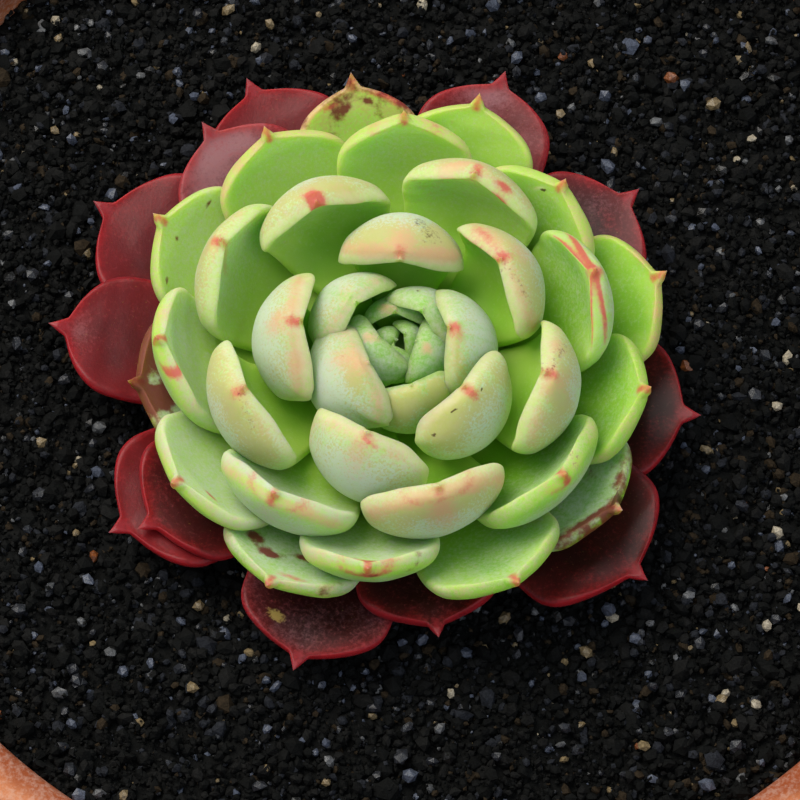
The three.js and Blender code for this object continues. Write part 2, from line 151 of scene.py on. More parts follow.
def smooth(value, low, high):
    """0 below low, 1 above high, and 3t^2 - 2t^3 between them."""
    t = np.clip((value - low) / (high - low), 0, 1)
    return t * t * (3 - 2 * t)


def bell(value, width):
    """A bell around 0: e to the minus (value over width) squared."""
    return np.exp(-((value / width) ** 2))


def waves(x, y, seed, count=6, finest=5.0):
    """Gentle unevenness from -1 to 1: a mean of plane sine waves over x and y with drawn directions and
    phases."""
    draw = np.random.default_rng(seed)
    total = np.zeros(np.broadcast(x, y).shape)
    for angle, pace, phase in draw.uniform((0, 1, 0), (np.pi, finest, 2 * np.pi), (count, 3)):
        total += np.sin(pace * (x * np.cos(angle) + y * np.sin(angle)) + phase)
    return total / count


def tube_faces(stations, sides):
    """Quads of a closed tube of rings, and triangle fans to one point before it and one behind it."""
    ring, side = np.meshgrid(np.arange(stations - 1), np.arange(sides), indexing="ij")
    after = (side + 1) % sides
    near, far = ring * sides, (ring + 1) * sides
    quads = np.stack([near + side, near + after, far + after, far + side], -1).reshape(-1, 4)
    side = np.arange(sides)
    after = (side + 1) % sides
    first, last, end = stations * sides, stations * sides + 1, (stations - 1) * sides
    fans = np.concatenate([np.stack([np.full(sides, first), after, side], -1),
                           np.stack([end + side, end + after, np.full(sides, last)], -1)])
    return quads, fans


def lathe(radii, heights, segments):
    """Rings of a turned shape: each profile point swept round +Z in equal steps."""
    angle = np.arange(segments) * 2 * np.pi / segments
    return np.stack([radii[:, None] * np.cos(angle), radii[:, None] * np.sin(angle),
                     np.broadcast_to(heights[:, None], (len(radii), segments))], -1)


def rounded(profile, radius, steps):
    """A profile whose corners are quadratic curves that start and end a radius away from the corner, or just
    under half way to the next one where that is nearer. Its two ends stay."""
    points = [np.array(profile[0], float)]
    for before, corner, after in zip(profile, profile[1:], profile[2:]):
        before, corner, after = (np.array(p, float) for p in (before, corner, after))
        back, ahead = before - corner, after - corner
        back *= min(radius, 0.49 * np.hypot(*back)) / np.hypot(*back)
        ahead *= min(radius, 0.49 * np.hypot(*ahead)) / np.hypot(*ahead)
        t = np.linspace(0, 1, steps)[:, None]
        points += list(corner + (1 - t) ** 2 * back + t**2 * ahead)
    return np.array(points + [np.array(profile[-1], float)])


def divided(profile, longest):
    """The profile with each stretch cut into equal steps no longer than longest."""
    pieces = [profile[:1]]
    for start, end in zip(profile, profile[1:]):
        steps = max(1, int(np.ceil(np.hypot(*(end - start)) / longest)))
        pieces.append(start + (end - start) * (np.arange(1, steps + 1) / steps)[:, None])
    return np.concatenate(pieces)


# ---- making a piece
def make_piece(name, points, faces, material, replaces=(), attributes=None, smooth_faces=True):
    """One mesh object from arrays of points in millimetres and of faces, with its float attributes, its
    material and its place in the frame. Faces is a list of arrays, each of quads or of triangles."""
    mesh = bpy.data.meshes.new(name)
    corners = np.concatenate([f.ravel() for f in faces])
    sizes = np.concatenate([np.full(len(f), f.shape[1]) for f in faces])
    mesh.vertices.add(len(points))
    mesh.vertices.foreach_set("co", (points * MM).astype(np.float32).ravel())
    mesh.loops.add(len(corners))
    mesh.loops.foreach_set("vertex_index", corners.astype(np.int32))
    mesh.polygons.add(len(sizes))
    mesh.polygons.foreach_set("loop_start", np.concatenate([[0], np.cumsum(sizes)[:-1]]).astype(np.int32))
    mesh.polygons.foreach_set("use_smooth", np.full(len(sizes), smooth_faces))
    mesh.update(calc_edges=True)
    if mesh.validate(verbose=False):
        raise RuntimeError(f"{name} has faces that had to be dropped")
    for key, values in (attributes or {}).items():
        layer = mesh.attributes.new(key, "FLOAT", "POINT")
        layer.data.foreach_set("value", np.asarray(values, np.float32).ravel())
    mesh.materials.append(material)
    piece = bpy.data.objects.new(name, mesh)
    bpy.context.scene.collection.objects.link(piece)
    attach(piece, "root")
    if replaces:
        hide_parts(*replaces)


# ---- materials
MIX_FIRST, MIX_SECOND, MIXED = 6, 7, 2  # a Mix node's colour sockets, which share their names with its others


def add_node(tree, kind, settings=None, inputs=None, output=0):
    """Adds one shader node, sets its properties, fills its sockets with values or with links from other
    sockets, and gives back one of its outputs."""
    node = tree.nodes.new(kind)
    for key, value in (settings or {}).items():
        setattr(node, key, value)
    for key, value in (inputs or {}).items():
        if isinstance(value, bpy.types.NodeSocket):
            tree.links.new(value, node.inputs[key])
        else:
            node.inputs[key].default_value = value
    return node.outputs[output] if node.outputs else None


def painted_layers(tree, colour, noises, layers):
    """Paint laid over a colour, layer by layer. Each layer is the name of the attribute that says where it
    lies, the noise that breaks it up and by how much, the values of the two together where it starts and
    where it is full, how much it covers there, and its colour."""
    for where, grain, spread, start, full, cover, paint in layers:
        place = add_node(tree, "ShaderNodeAttribute", {"attribute_name": where}, output="Fac")
        broken = add_node(tree, "ShaderNodeMath", {"operation": "MULTIPLY_ADD"},
                          {0: noises[grain], 1: spread, 2: place})
        share = add_node(tree, "ShaderNodeMapRange", {"interpolation_type": "SMOOTHSTEP"}, {
            "Value": broken, "From Min": start + spread / 2, "From Max": full + spread / 2, "To Max": cover})
        colour = add_node(tree, "ShaderNodeMix", {"data_type": "RGBA"},
                          {0: share, MIX_FIRST: colour, MIX_SECOND: tuple(paint)}, MIXED)
    return colour


def start_material(name, grain_sizes):
    """An empty material, its node tree, and noises on the piece's own coordinates, by name: how many
    millimetres their blobs are across, their detail and their roughness."""
    material = bpy.data.materials.new(name)
    material.use_nodes = True
    tree = material.node_tree
    tree.nodes.clear()
    place = add_node(tree, "ShaderNodeTexCoord", output="Object") if grain_sizes else None
    noises = {}
    for grain, (size, detail, rough) in grain_sizes.items():
        noises[grain] = add_node(tree, "ShaderNodeTexNoise", {}, {
            "Vector": place, "Scale": 1 / (size * MM), "Detail": detail, "Roughness": rough}, "Fac")
    return material, tree, noises


def end_material(tree, colour, bumps, surface):
    """The end of a material: its bumps one over the other, each a noise and its height in millimetres, and
    the surface that takes them, the colour and the values given."""
    relief = {}
    for noise, height in bumps:
        bump = add_node(tree, "ShaderNodeBump", {}, {"Height": noise, "Distance": height * MM, **relief})
        relief = {"Normal": bump}
    shader = add_node(tree, "ShaderNodeBsdfPrincipled", {}, {"Base Color": colour, **relief, **surface})
    add_node(tree, "ShaderNodeOutputMaterial", {}, {"Surface": shader})


def leaf_skin(name, settings, flesh):
    """Living leaf skin: a thin clear cuticle over juicy tissue. It is dull where powdery wax covers it and
    satin where that has been rubbed off, and light passes a little way into the flesh, farthest in the
    flesh's colour."""
    material, tree, noises = start_material(name, {
        "broad": (5.0, 2.0, 0.5), "cloud": (1.6, 4.0, 0.6), "fleck": (0.45, 3.0, 0.7), "pore": (0.3, 2, 0.7)})
    colour = painted_layers(tree, tuple(settings.deep), noises, (
        # the fresh green over the deep one: partly the leaf's own colour, partly painted light and shade
        ("fresh_and_lit", "broad", 0.5, 0.0, 1.0, 1.0, settings.fresh_and_lit),
        ("bloom", "fleck", 1.1, 0.05, 1.05, 0.95, settings.bloom),
        ("gold", "pore", 2.2, 0.3, 1.0, 0.8, settings.gold),
        ("blush", "fleck", 1.2, 0.2, 1.2, 0.85, settings.blush),
        ("rim", "cloud", 0.5, 0.1, 0.95, 0.8, settings.rim),
        ("coral", "fleck", 0.9, 0.15, 1.15, 0.85, settings.coral),
        ("maroon", "cloud", 1.6, 0.45, 1.0, 0.93, settings.maroon),
        ("scar", "fleck", 1.2, 0.35, 0.8, 0.85, settings.scar),
    ))
    wax = add_node(tree, "ShaderNodeAttribute", {"attribute_name": "bloom"}, output="Fac")
    rough = add_node(tree, "ShaderNodeMapRange", {}, {
        "Value": wax, "To Min": settings.bare_roughness, "To Max": settings.waxy_roughness})
    end_material(tree, colour, ((noises["cloud"], 0.04), (noises["pore"], 0.02)), {
        "Roughness": rough, "IOR": 1.42, "Specular IOR Level": 0.25,
        "Subsurface Weight": 0.65, "Subsurface Scale": 0.007, "Subsurface Radius": flesh})
    return material


def fired_clay(settings):
    """Terracotta: red clay, pressed in a mould and fired without a glaze. It is matte and porous, darker
    where it is damp, and dusted white where salts have dried."""
    material, tree, noises = start_material("fired_terracotta", {
        "broad": (22.0, 4.0, 0.6), "cloud": (6.0, 5.0, 0.65), "sand": (0.7, 3.0, 0.7)})
    colour = painted_layers(tree, tuple(settings.clay), noises, (
        ("pale", "broad", 1.2, 0.0, 0.6, 1.0, settings.pale_clay),
        ("damp", "cloud", 0.8, 0.3, 0.9, 1.0, settings.damp_clay),
        ("salt", "cloud", 1.4, 0.35, 1.1, 0.8, settings.salt),
        ("sandy", "sand", 1.6, 0.1, 0.5, 0.2, settings.salt),
    ))
    end_material(tree, colour, ((noises["cloud"], 0.3), (noises["sand"], 0.15)), {
        "Roughness": 0.88, "IOR": 1.5, "Specular IOR Level": 0.3})
    return material


def crushed_lava(name, stops, rough, gloss):
    """Crushed volcanic rock: broken grains, each of one stone. The stops say which share of the grains has
    which colour, and dust dulls their faces in specks. Dull cinder drinks light, and glassy pieces throw
    glints."""
    material, tree, noises = start_material(name, {"dust": (0.3, 3.0, 0.7)})
    stone = add_node(tree, "ShaderNodeAttribute", {"attribute_name": "stone"}, output="Fac")
    colour = add_node(tree, "ShaderNodeValToRGB", {}, {"Fac": stone})
    ramp = colour.node.color_ramp
    ramp.interpolation = "CONSTANT"
    for position, _ in stops[2:]:
        ramp.elements.new(position)
    for element, (position, paint) in zip(ramp.elements, stops):
        element.position, element.color = position, tuple(paint)
    shade = add_node(tree, "ShaderNodeMapRange", {}, {
        "Value": noises["dust"], "From Min": 0.25, "From Max": 0.75, "To Min": 0.3, "To Max": 1.3})
    dusty = add_node(tree, "ShaderNodeVectorMath", {"operation": "SCALE"}, {0: colour, "Scale": shade})
    end_material(tree, dusty, ((noises["dust"], 0.12),), {
        "Roughness": rough, "IOR": 1.5, "Specular IOR Level": gloss})
    return material


def corky_stem(settings):
    """Young stem of a succulent: green and smooth under the leaves, with thin brown cork towards the soil."""
    material, tree, noises = start_material("corky_stem", {
        "fibre": (0.8, 4.0, 0.65), "blotch": (3.0, 3.0, 0.5)})
    colour = painted_layers(tree, tuple(settings.cork), noises, (
        ("worn", "fibre", 1.5, 0.0, 0.5, 1.0, settings.pale_cork),
        ("young", "blotch", 0.8, 0.2, 0.8, 1.0, settings.green),
    ))
    end_material(tree, colour, ((noises["fibre"], 0.2),), {"Roughness": 0.7, "IOR": 1.45})
    return material


# ---- property groups
def swatch(name, description, hex_colour):
    """A colour to set, whose default is given as sRGB hex."""
    return FloatVectorProperty(name=name, description=description, subtype="COLOR", size=4, min=0.0, max=1.0,
                               default=linear(hex_colour))


def span(name, description, millimetres):
    """A length to set, in the scene's unit, whose default is given in millimetres."""
    return FloatProperty(name=name, description=description, subtype="DISTANCE", unit="LENGTH", min=0.0,
                         precision=5, default=millimetres * MM)


def fraction(name, description, default):
    """A fraction to set, from 0 to 1."""
    return FloatProperty(name=name, description=description, subtype="FACTOR", min=0, max=1, default=default)


class PotSettings(PropertyGroup):
    height: span("Height", "From the foot to the top of the rim", 120)
    rim_outer: span("Rim outer radius", "The rim band's radius at its top", CAD_BOX[1][0] / MM)
    rim_inner: span("Rim inner radius", "The mouth's radius", 68)
    band: span("Band height", "Height of the thick band under the rim", 30)
    segments: IntProperty(name="Segments", description="Steps round the pot", default=256, min=32)
    clay: swatch("Clay", "Dry fired clay", "#b5673c")
    pale_clay: swatch("Pale clay", "Clay where it fired paler", "#c07b55")
    damp_clay: swatch("Damp clay", "Clay that has drawn up water", "#8c4320")
    salt: swatch("Salt", "Dried salts", "#e0cbbb")


class GritSettings(PropertyGroup):
    level: span("Level", "Height of the grit's surface over the pot's foot", 112)
    seed: IntProperty(name="Seed", description="Draws the grains", default=11, min=0)
    black: swatch("Black", "Most grains", "#0b0c0b")
    char: swatch("Char", "Grains a little lighter", "#151514")
    slate: swatch("Slate", "Weathered grains", "#25272c")
    brown: swatch("Brown", "Brown grains", "#2e2519")
    # partly painted reflection: blue grey grains stand in for the sky glinting on the glassy grit
    blue_grey: swatch("Blue grey", "Grains that show the sky", "#4b515f")
    grey: swatch("Grey", "Grey grains", "#5c5d5e")
    tan: swatch("Tan", "Tan grains", "#7d6c4e")
    cream: swatch("Cream", "Pale grains", "#a79c86")
    rust: swatch("Rust", "Burnt clay grains", "#7a4420")


class StemSettings(PropertyGroup):
    cork: swatch("Cork", "Dark cork", "#5a4630")
    pale_cork: swatch("Pale cork", "Worn cork", "#8a7654")
    green: swatch("Green", "Young stem", "#8fa45c")


class LeafSettings(PropertyGroup):
    # deep and fresh are shaded and lit copies of the leaf's green: partly its own colour, partly painted
    # shade and light
    deep: swatch("Deep", "Tissue in the shade and at the root", "#76b41e")
    fresh_and_lit: swatch("Fresh", "Tissue in the light", "#a9cf55")
    bloom: swatch("Bloom", "Powdery wax", "#bcc7b2")
    gold: swatch("Gold", "Flecks that the sun has yellowed", "#b8b067")
    blush: swatch("Blush", "Sunburnt rim and keel", "#cea17c")
    rim: swatch("Rim", "The thin margin", "#dcd4ac")
    coral: swatch("Coral", "Red pigment at the tip", "#c4474a")
    maroon: swatch("Maroon", "Blotches of ageing leaves", "#6e2422")
    scar: swatch("Scar", "Corky marks", "#4a2c16")
    bare_roughness: fraction("Bare roughness", "Roughness of rubbed skin", 0.42)
    waxy_roughness: fraction("Waxy roughness", "Roughness under the bloom", 0.62)


class RedLeafSettings(PropertyGroup):
    # deep and fresh are shaded and lit copies of the leaf's red: partly its own colour, partly painted shade
    # and light
    deep: swatch("Deep", "Tissue in the shade and at the root", "#2e0c0d")
    fresh_and_lit: swatch("Fresh", "Tissue in the light", "#6a171b")
    bloom: swatch("Bloom", "Powdery wax", "#98696e")
    gold: swatch("Gold", "Flecks that the sun has yellowed", "#96863f")
    blush: swatch("Blush", "Sunlit stretches", "#961f25")
    rim: swatch("Rim", "The thin margin", "#a02028")
    coral: swatch("Coral", "Red pigment at the tip", "#8f2830")
    maroon: swatch("Maroon", "Dark blotches", "#220a0b")
    scar: swatch("Scar", "Corky marks", "#a08a4a")
    bare_roughness: fraction("Bare roughness", "Roughness of rubbed skin", 0.38)
    waxy_roughness: fraction("Waxy roughness", "Roughness under the bloom", 0.6)


class StageSettings(PropertyGroup):
    elevation: FloatProperty(name="Elevation", description="The view's angle above the horizon",
                             subtype="ANGLE", unit="ROTATION", default=math.radians(68))
    distance: span("Distance", "From the camera to the rosette", 420)
    lens: FloatProperty(name="Lens", description="Focal length in millimetres on the sensor", default=165.4)
    floor: swatch("Floor", "The table's colour", "#dcd8d2")


# ---- pot
# Radii and thickness in millimetres of what the pot's settings leave open
HOLE_RADIUS, FLOOR_THICK = 7.0, 9.0
FOOT_RADIUS, FLOOR_INSIDE, WALL_OUTSIDE, WALL_INSIDE = 50.0, 42.5, 69.5, 65.0
BAND_TAPER = 2  # how much narrower the band is at its foot
ROUNDING, ROUNDING_STEPS, LONGEST_STEP = 2.6, 7, 1.6
DENTS, RIDGES, RIDGE_SPACING = 0.16, 0.1, 1.7  # depths of the wall's broad hollows and fine ridges
SALT_FILM, SALT_RIM, SALT_BLOTCHES = 0.1, 0.3, 0.25  # salts all over, more on the rim's top, and in blotches
DAMP_FROM, DAMP_FULL = 14, 1.5  # how far below the rim's top the damp of its edge starts, and is whole
DAMP_RADIUS, DRY_RADIUS = 68.5, 73.5  # between these radii it fades out over the rim
FOOT_DAMP, FOOT_DAMP_FULL, FOOT_DRY = 0.4, 4, 24  # the damp round the foot, and the heights it fades between
PALE_CLAY, SANDY_CLAY = 0.3, 0.25  # how far the clay fired paler, and how much sand shows in it
DENT_SEED, RIDGE_SEED, DAMP_SEED, SALT_SEED = 3, 4, 5, 6


def pot_profile(settings):
    """The pot's outline, radius and height, from inside the drainage hole down, round the outside and over
    the rim, and down the inside to where it began. Corners are rounded, and long stretches are cut into short
    ones."""
    height, outer, inner = (v / MM for v in (settings.height, settings.rim_outer, settings.rim_inner))
    foot = height - settings.band / MM
    seam = (HOLE_RADIUS, FLOOR_THICK / 2)
    outline = [seam, (HOLE_RADIUS, 0.0), (FOOT_RADIUS, 0.0), (WALL_OUTSIDE, foot), (outer - BAND_TAPER, foot),
               (outer, height), (inner, height), (WALL_INSIDE, foot), (FLOOR_INSIDE, FLOOR_THICK),
               (HOLE_RADIUS, FLOOR_THICK), seam]
    return divided(rounded(outline, ROUNDING, ROUNDING_STEPS), LONGEST_STEP)


class SUCCULENT_OT_pot(Operator):
    """Turn the clay pot: its profile round +Z, with the shallow unevenness of a hand-fed mould"""

    bl_idname = "succulent.pot"
    bl_label = "Clay pot"

    def execute(self, context):
        settings = context.scene.succulent_pot
        profile = pot_profile(settings)
        radii, heights = profile[:-1, 0], profile[:-1, 1]
        segments, top = settings.segments, settings.height / MM
        rings = lathe(radii, heights, segments)
        angle = np.arange(segments)[None] * 2 * np.pi / segments
        count = len(radii)
        radii, heights = radii[:, None], heights[:, None]
        # the wall gives way inwards only, so the pot keeps within its own outline
        dent = DENTS * (1 + waves(3 * np.cos(angle), 3 * np.sin(angle) + heights / 14, DENT_SEED)) / 2
        dent = dent + RIDGES * (1 + waves(heights / RIDGE_SPACING, 2 * np.cos(angle), RIDGE_SEED)) / 2
        outside = smooth(radii, FOOT_RADIUS - 5, FOOT_RADIUS + 5) * smooth(heights, 4, 10)
        rings[..., :2] *= 1 - (dent * outside / radii)[..., None]
        ring, side = np.meshgrid(np.arange(count), np.arange(segments), indexing="ij")
        after, over = (side + 1) % segments, (ring + 1) % count
        quads = np.stack([ring * segments + side, ring * segments + after, over * segments + after,
                          over * segments + side], -1).reshape(-1, 4)
        x, y = rings[..., 0], rings[..., 1]
        inner_edge = smooth(heights, top - DAMP_FROM, top - DAMP_FULL)
        inner_edge = inner_edge * smooth(-radii, -DRY_RADIUS, -DAMP_RADIUS)
        damp = inner_edge * (0.95 + 0.3 * waves(x / 9, y / 9, DAMP_SEED))
        damp = damp + FOOT_DAMP * smooth(-heights, -FOOT_DRY, -FOOT_DAMP_FULL)
        salt = SALT_FILM + SALT_RIM * (smooth(radii, 69, 74) * smooth(heights, top - 4, top))
        salt = salt + SALT_BLOTCHES * waves(x / 12, y / 12 + heights / 9, SALT_SEED) - SALT_RIM * inner_edge
        paint = {"damp": damp, "salt": salt, "pale": np.full(x.shape, PALE_CLAY),
                 "sandy": np.full(x.shape, SANDY_CLAY)}
        make_piece("clay_pot", rings.reshape(-1, 3), [quads], fired_clay(settings), ("pot",), paint)
        return {"FINISHED"}


# ---- grit
GRIT_RADIUS = 67.2  # the grit's edge, just inside the pot's mouth
SHELTER = 44.0  # under the leaves the grains lie lower
HIDDEN = 22.0  # and this near the stem no loose ones show
# The solids that grains are broken from, as corners and faces
OCTAHEDRON = (((1, 0, 0), (-1, 0, 0), (0, 1, 0), (0, -1, 0), (0, 0, 1), (0, 0, -1)),
              ((0, 2, 4), (2, 1, 4), (1, 3, 4), (3, 0, 4), (2, 0, 5), (1, 2, 5), (3, 1, 5), (0, 3, 5)))
GOLDEN = (1 + 5**0.5) / 2
ICOSAHEDRON = (
    ((-1, GOLDEN, 0), (1, GOLDEN, 0), (-1, -GOLDEN, 0), (1, -GOLDEN, 0), (0, -1, GOLDEN), (0, 1, GOLDEN),
     (0, -1, -GOLDEN), (0, 1, -GOLDEN), (GOLDEN, 0, -1), (GOLDEN, 0, 1), (-GOLDEN, 0, -1), (-GOLDEN, 0, 1)),
    ((0, 11, 5), (0, 5, 1), (0, 1, 7), (0, 7, 10), (0, 10, 11), (1, 5, 9), (5, 11, 4), (11, 10, 2),
     (10, 7, 6), (7, 1, 8), (3, 9, 4), (3, 4, 2), (3, 2, 6), (3, 6, 8), (3, 8, 9), (4, 9, 5), (2, 4, 11),
     (6, 2, 10), (8, 6, 7), (9, 8, 1)))
SIDE_RADII, SIDE_HEIGHTS = (64.4, 42.0), (90.0, 9.3)  # the bed's side under its edge, down to its foot
BED_RINGS, BED_SEGMENTS = 96, 240
BED_DEPTH, BED_BANK = 1.1, 0.9  # how far the bed lies under the grit's level, and rises again at the pot
HEAP_SIZE, HEAPS, OPEN_HEAPS, HEAP_SEED = 5, 0.3, 0.6, 21  # its heaps, and how much higher in the open
SMALL_MORE_COMMON = 2.2  # the power that makes small grains the more common
OVER_EDGE = 0.4  # how far grains may reach over the grit's edge
SHELTERED_LOWER = 0.6  # how much lower they lie under the leaves, as a share
GRAIN_TOP, OPEN_TOP = 1.0, 1.6  # how high over the level they may stand, and how much more in the open
BROKEN, SQUASHED = (0.7, 1.12), (0.55, 1.15)  # the reach of a grain's corners and axes, over its radius


def turned(draw, count):
    """That many rotation matrices drawn evenly, from unit quaternions."""
    drawn = draw.normal(size=(4, count))
    w, x, y, z = drawn / np.linalg.norm(drawn, axis=0)
    rows = [1 - 2 * (y * y + z * z), 2 * (x * y - z * w), 2 * (x * z + y * w),
            2 * (x * y + z * w), 1 - 2 * (x * x + z * z), 2 * (y * z - x * w),
            2 * (x * z - y * w), 2 * (y * z + x * w), 1 - 2 * (x * x + y * y)]
    return np.stack(rows, -1).reshape(count, 3, 3)


def bed_height(x, y, level):
    """The bed's height under the grains: broad low heaps of sine waves, flatter under the leaves and banked
    up at the pot."""
    open_ground = smooth(np.hypot(x - PLANT_X, y - PLANT_Y), SHELTER - 12, SHELTER)
    near_wall = smooth(np.hypot(x, y), GRIT_RADIUS - 5, GRIT_RADIUS)
    heaps = waves(x / HEAP_SIZE, y / HEAP_SIZE, HEAP_SEED, 8, 4) * (HEAPS + OPEN_HEAPS * open_ground)
    return level - BED_DEPTH + heaps + BED_BANK * near_wall


def grains(draw, solid, count, sizes, level, lift):
    """Angular grains: a jittered, squashed and turned solid at each drawn place on the bed, all at once.
    Sizes are the least and the greatest radius, and small ones are the more common. Lift is how far their
    middles stand over the bed, in radii, from the least to the greatest."""
    corners, base_faces = (np.array(part) for part in solid)
    corners = corners / np.linalg.norm(corners[0])
    reach = GRIT_RADIUS * np.sqrt(draw.uniform(0, 1, count))
    angle = draw.uniform(0, 2 * np.pi, count)
    size = sizes[0] + (sizes[1] - sizes[0]) * draw.uniform(0, 1, count) ** SMALL_MORE_COMMON
    reach = np.minimum(reach, GRIT_RADIUS + OVER_EDGE - size)
    x, y = reach * np.cos(angle), reach * np.sin(angle)
    from_stem = np.hypot(x - PLANT_X, y - PLANT_Y)
    shelter = 1 - smooth(from_stem, SHELTER - 8, SHELTER)
    z = bed_height(x, y, level) + size * draw.uniform(*lift, count) * (1 - SHELTERED_LOWER * shelter)
    shape = corners[None] * draw.uniform(*BROKEN, (count, len(corners), 1))
    shape = shape * draw.uniform(*SQUASHED, (count, 1, 3))
    shape = np.einsum("nij,nkj->nki", turned(draw, count), shape) * size[:, None, None]
    points = shape + np.stack([x, y, z], -1)[:, None]
    points[..., 2] = np.minimum(points[..., 2], level + GRAIN_TOP + OPEN_TOP * (1 - shelter[:, None]))
    stone = draw.uniform(0, 1, count)
    seen = from_stem > HIDDEN
    points, stone = points[seen], stone[seen]
    faces = (base_faces[None] + len(corners) * np.arange(len(points))[:, None, None]).reshape(-1, 3)
    return points.reshape(-1, 3), faces, np.repeat(stone, len(corners))


class SUCCULENT_OT_grit(Operator):
    """Lay the grit: a bed that fills the pot, and loose broken grains of several sizes on it"""

    bl_idname = "succulent.grit"
    bl_label = "Black grit"

    def execute(self, context):
        settings = context.scene.succulent_grit
        level = settings.level / MM
        cinder = crushed_lava("crushed_cinder", (
            (0.0, settings.black), (0.6, settings.char), (0.86, settings.slate), (0.93, settings.brown),
            (0.985, settings.blue_grey), (0.995, settings.tan)), 0.8, 0.12)
        glassy = crushed_lava("glassy_lava_chips", (
            (0.0, settings.slate), (0.4, settings.blue_grey), (0.6, settings.grey), (0.72, settings.char),
            (0.86, settings.tan), (0.94, settings.cream), (0.985, settings.rust)), 0.35, 0.5)
        draw = np.random.default_rng(settings.seed)
        # the bed: rings that widen to the wall, then go down it to the pot's floor
        radii = np.concatenate([np.linspace(0.6, GRIT_RADIUS, BED_RINGS), SIDE_RADII])
        heights = np.concatenate([np.full(BED_RINGS, level), SIDE_HEIGHTS])
        rings = lathe(radii, heights, BED_SEGMENTS)
        top = rings[:BED_RINGS]
        top[..., 2] = bed_height(top[..., 0], top[..., 1], level)
        ends = [[0, 0, SIDE_HEIGHTS[-1]], [0, 0, top[0, :, 2].mean()]]
        points = np.concatenate([rings[::-1].reshape(-1, 3), ends])
        make_piece("grit_bed", points, list(tube_faces(len(radii), BED_SEGMENTS)), cinder, ("soil",),
                   {"stone": np.zeros(len(points))})
        for name, solid, count, sizes, lift, rock in (
            ("grit_coarse", ICOSAHEDRON, 3000, (0.8, 1.7), (-0.2, 0.7), cinder),
            ("grit_medium_a", ICOSAHEDRON, 9500, (0.45, 0.95), (0.0, 1.5), cinder),
            ("grit_medium_b", ICOSAHEDRON, 9500, (0.45, 0.95), (0.4, 2.0), cinder),
            ("grit_fine_a", OCTAHEDRON, 20000, (0.2, 0.5), (0.5, 2.5), cinder),
            ("grit_fine_b", OCTAHEDRON, 20000, (0.2, 0.5), (1.0, 4.5), cinder),
            ("grit_chips", ICOSAHEDRON, 2300, (0.3, 1.1), (0.6, 2.2), glassy),
        ):
            points, faces, stone = grains(draw, solid, count, sizes, level, lift)
            make_piece(name, points, [faces], rock, (), {"stone": stone}, smooth_faces=False)
        return {"FINISHED"}


# ---- stem
STEM_SEGMENTS, NECK_RINGS, DOME_RINGS = 96, 60, 40
SCAR_DEPTH, SCAR_SPACING, KNOBS = 0.22, 1.7, 0.3  # rings of leaf scars, and the knobs between them
STEM_THINNER = 0.5  # how far the scarred stem lies inside the outline
SCARRED_BELOW, SMOOTH_ABOVE = 6, 11  # heights between which the scars fade
CORKY_BELOW, GREEN_ABOVE = 1, 7  # and those between which cork gives way to green
KNOB_SEED = 31


def crown_radius(height):
    """The crown's radius at a height: a half ellipse over a neck that swells to meet it."""
    over, under = (height - CROWN_MIDDLE) / (CROWN_TOP - CROWN_MIDDLE), height / CROWN_MIDDLE
    dome = CROWN_RADIUS * np.sqrt(np.clip(1 - over**2, 0, 1))
    neck = NECK_RADIUS + (CROWN_RADIUS - NECK_RADIUS) * quarter_wave(under)
    return np.where(height > CROWN_MIDDLE, dome, neck)


class SUCCULENT_OT_stem(Operator):
    """Turn the stem and crown that carry the leaves, with low rings where old leaves broke off"""

    bl_idname = "succulent.stem"
    bl_label = "Stem"

    def execute(self, context):
        dome = CROWN_MIDDLE + (CROWN_TOP - CROWN_MIDDLE) * np.sin(np.linspace(0.03, 1.54, DOME_RINGS))
        heights = np.concatenate([np.linspace(STEM_FOOT, CROWN_MIDDLE, NECK_RINGS), dome])
        rings = lathe(crown_radius(heights), heights, STEM_SEGMENTS)
        angle = np.arange(STEM_SEGMENTS)[None] * 2 * np.pi / STEM_SEGMENTS
        heights = heights[:, None]
        scars = SCAR_DEPTH * np.sin(heights * 2 * np.pi / SCAR_SPACING + 3 * np.sin(angle * 2 + heights))
        knobs = KNOBS * waves(3 * np.cos(angle), 3 * np.sin(angle) + heights / 2, KNOB_SEED)
        inward = (scars + knobs - STEM_THINNER) * smooth(-heights, -SMOOTH_ABOVE, -SCARRED_BELOW)
        rings[..., :2] *= 1 + (inward / np.maximum(crown_radius(heights), 1.0))[..., None]
        points = np.concatenate([rings.reshape(-1, 3), [[0, 0, STEM_FOOT], [0, 0, CROWN_TOP]]])
        young = smooth(points[:, 2], CORKY_BELOW, GREEN_ABOVE)
        points += (PLANT_X, PLANT_Y, PLANT_Z)
        make_piece("stem", points, list(tube_faces(len(heights), STEM_SEGMENTS)),
                   corky_stem(context.scene.succulent_stem), ("crown",),
                   {"young": young, "worn": np.full(len(points), 0.25)})
        return {"FINISHED"}


# ---- leaves
STATIONS, SIDES = 88, 64  # rings along a leaf, and points round each
CURVE_STEPS = 601  # points that its midrib is measured with
GROWING = (18, 26)  # the ages between which the blade's end takes its grown shape
HOOKED_SHORTER = 0.2  # the share of its length that a spine loses when it turns right back
CONE_POWER, CONE_WIDEST = 1.1, 0.3  # how hollow the spine's flanks are, and where it stops widening
CONE_FROM, CONE_FULL = 4.0, 0.9  # where the spine's cone begins and is whole, in its lengths from the point
WAVE_HEIGHT, WAVE_COUNT, OTHER_MARGIN = 0.12, 3.3, 2.1  # the margin's waves, and the lag of the right one's
WAVES_COME, WAVES_GO = (0.35, 0.6), (0.9, 1.0)  # where along the blade they rise, and where they die down
LUMP_HEIGHT, LUMP_SIZE = 0.1, 3.0  # the soft unevenness of a leaf's faces
# Each leaf's own draws start from these numbers and its age
LUMP_SEED, MOTTLE_SEED, STREAK_SEED, BLOTCH_SEED, WEAR_SEED = 100, 700, 800, 900, 950
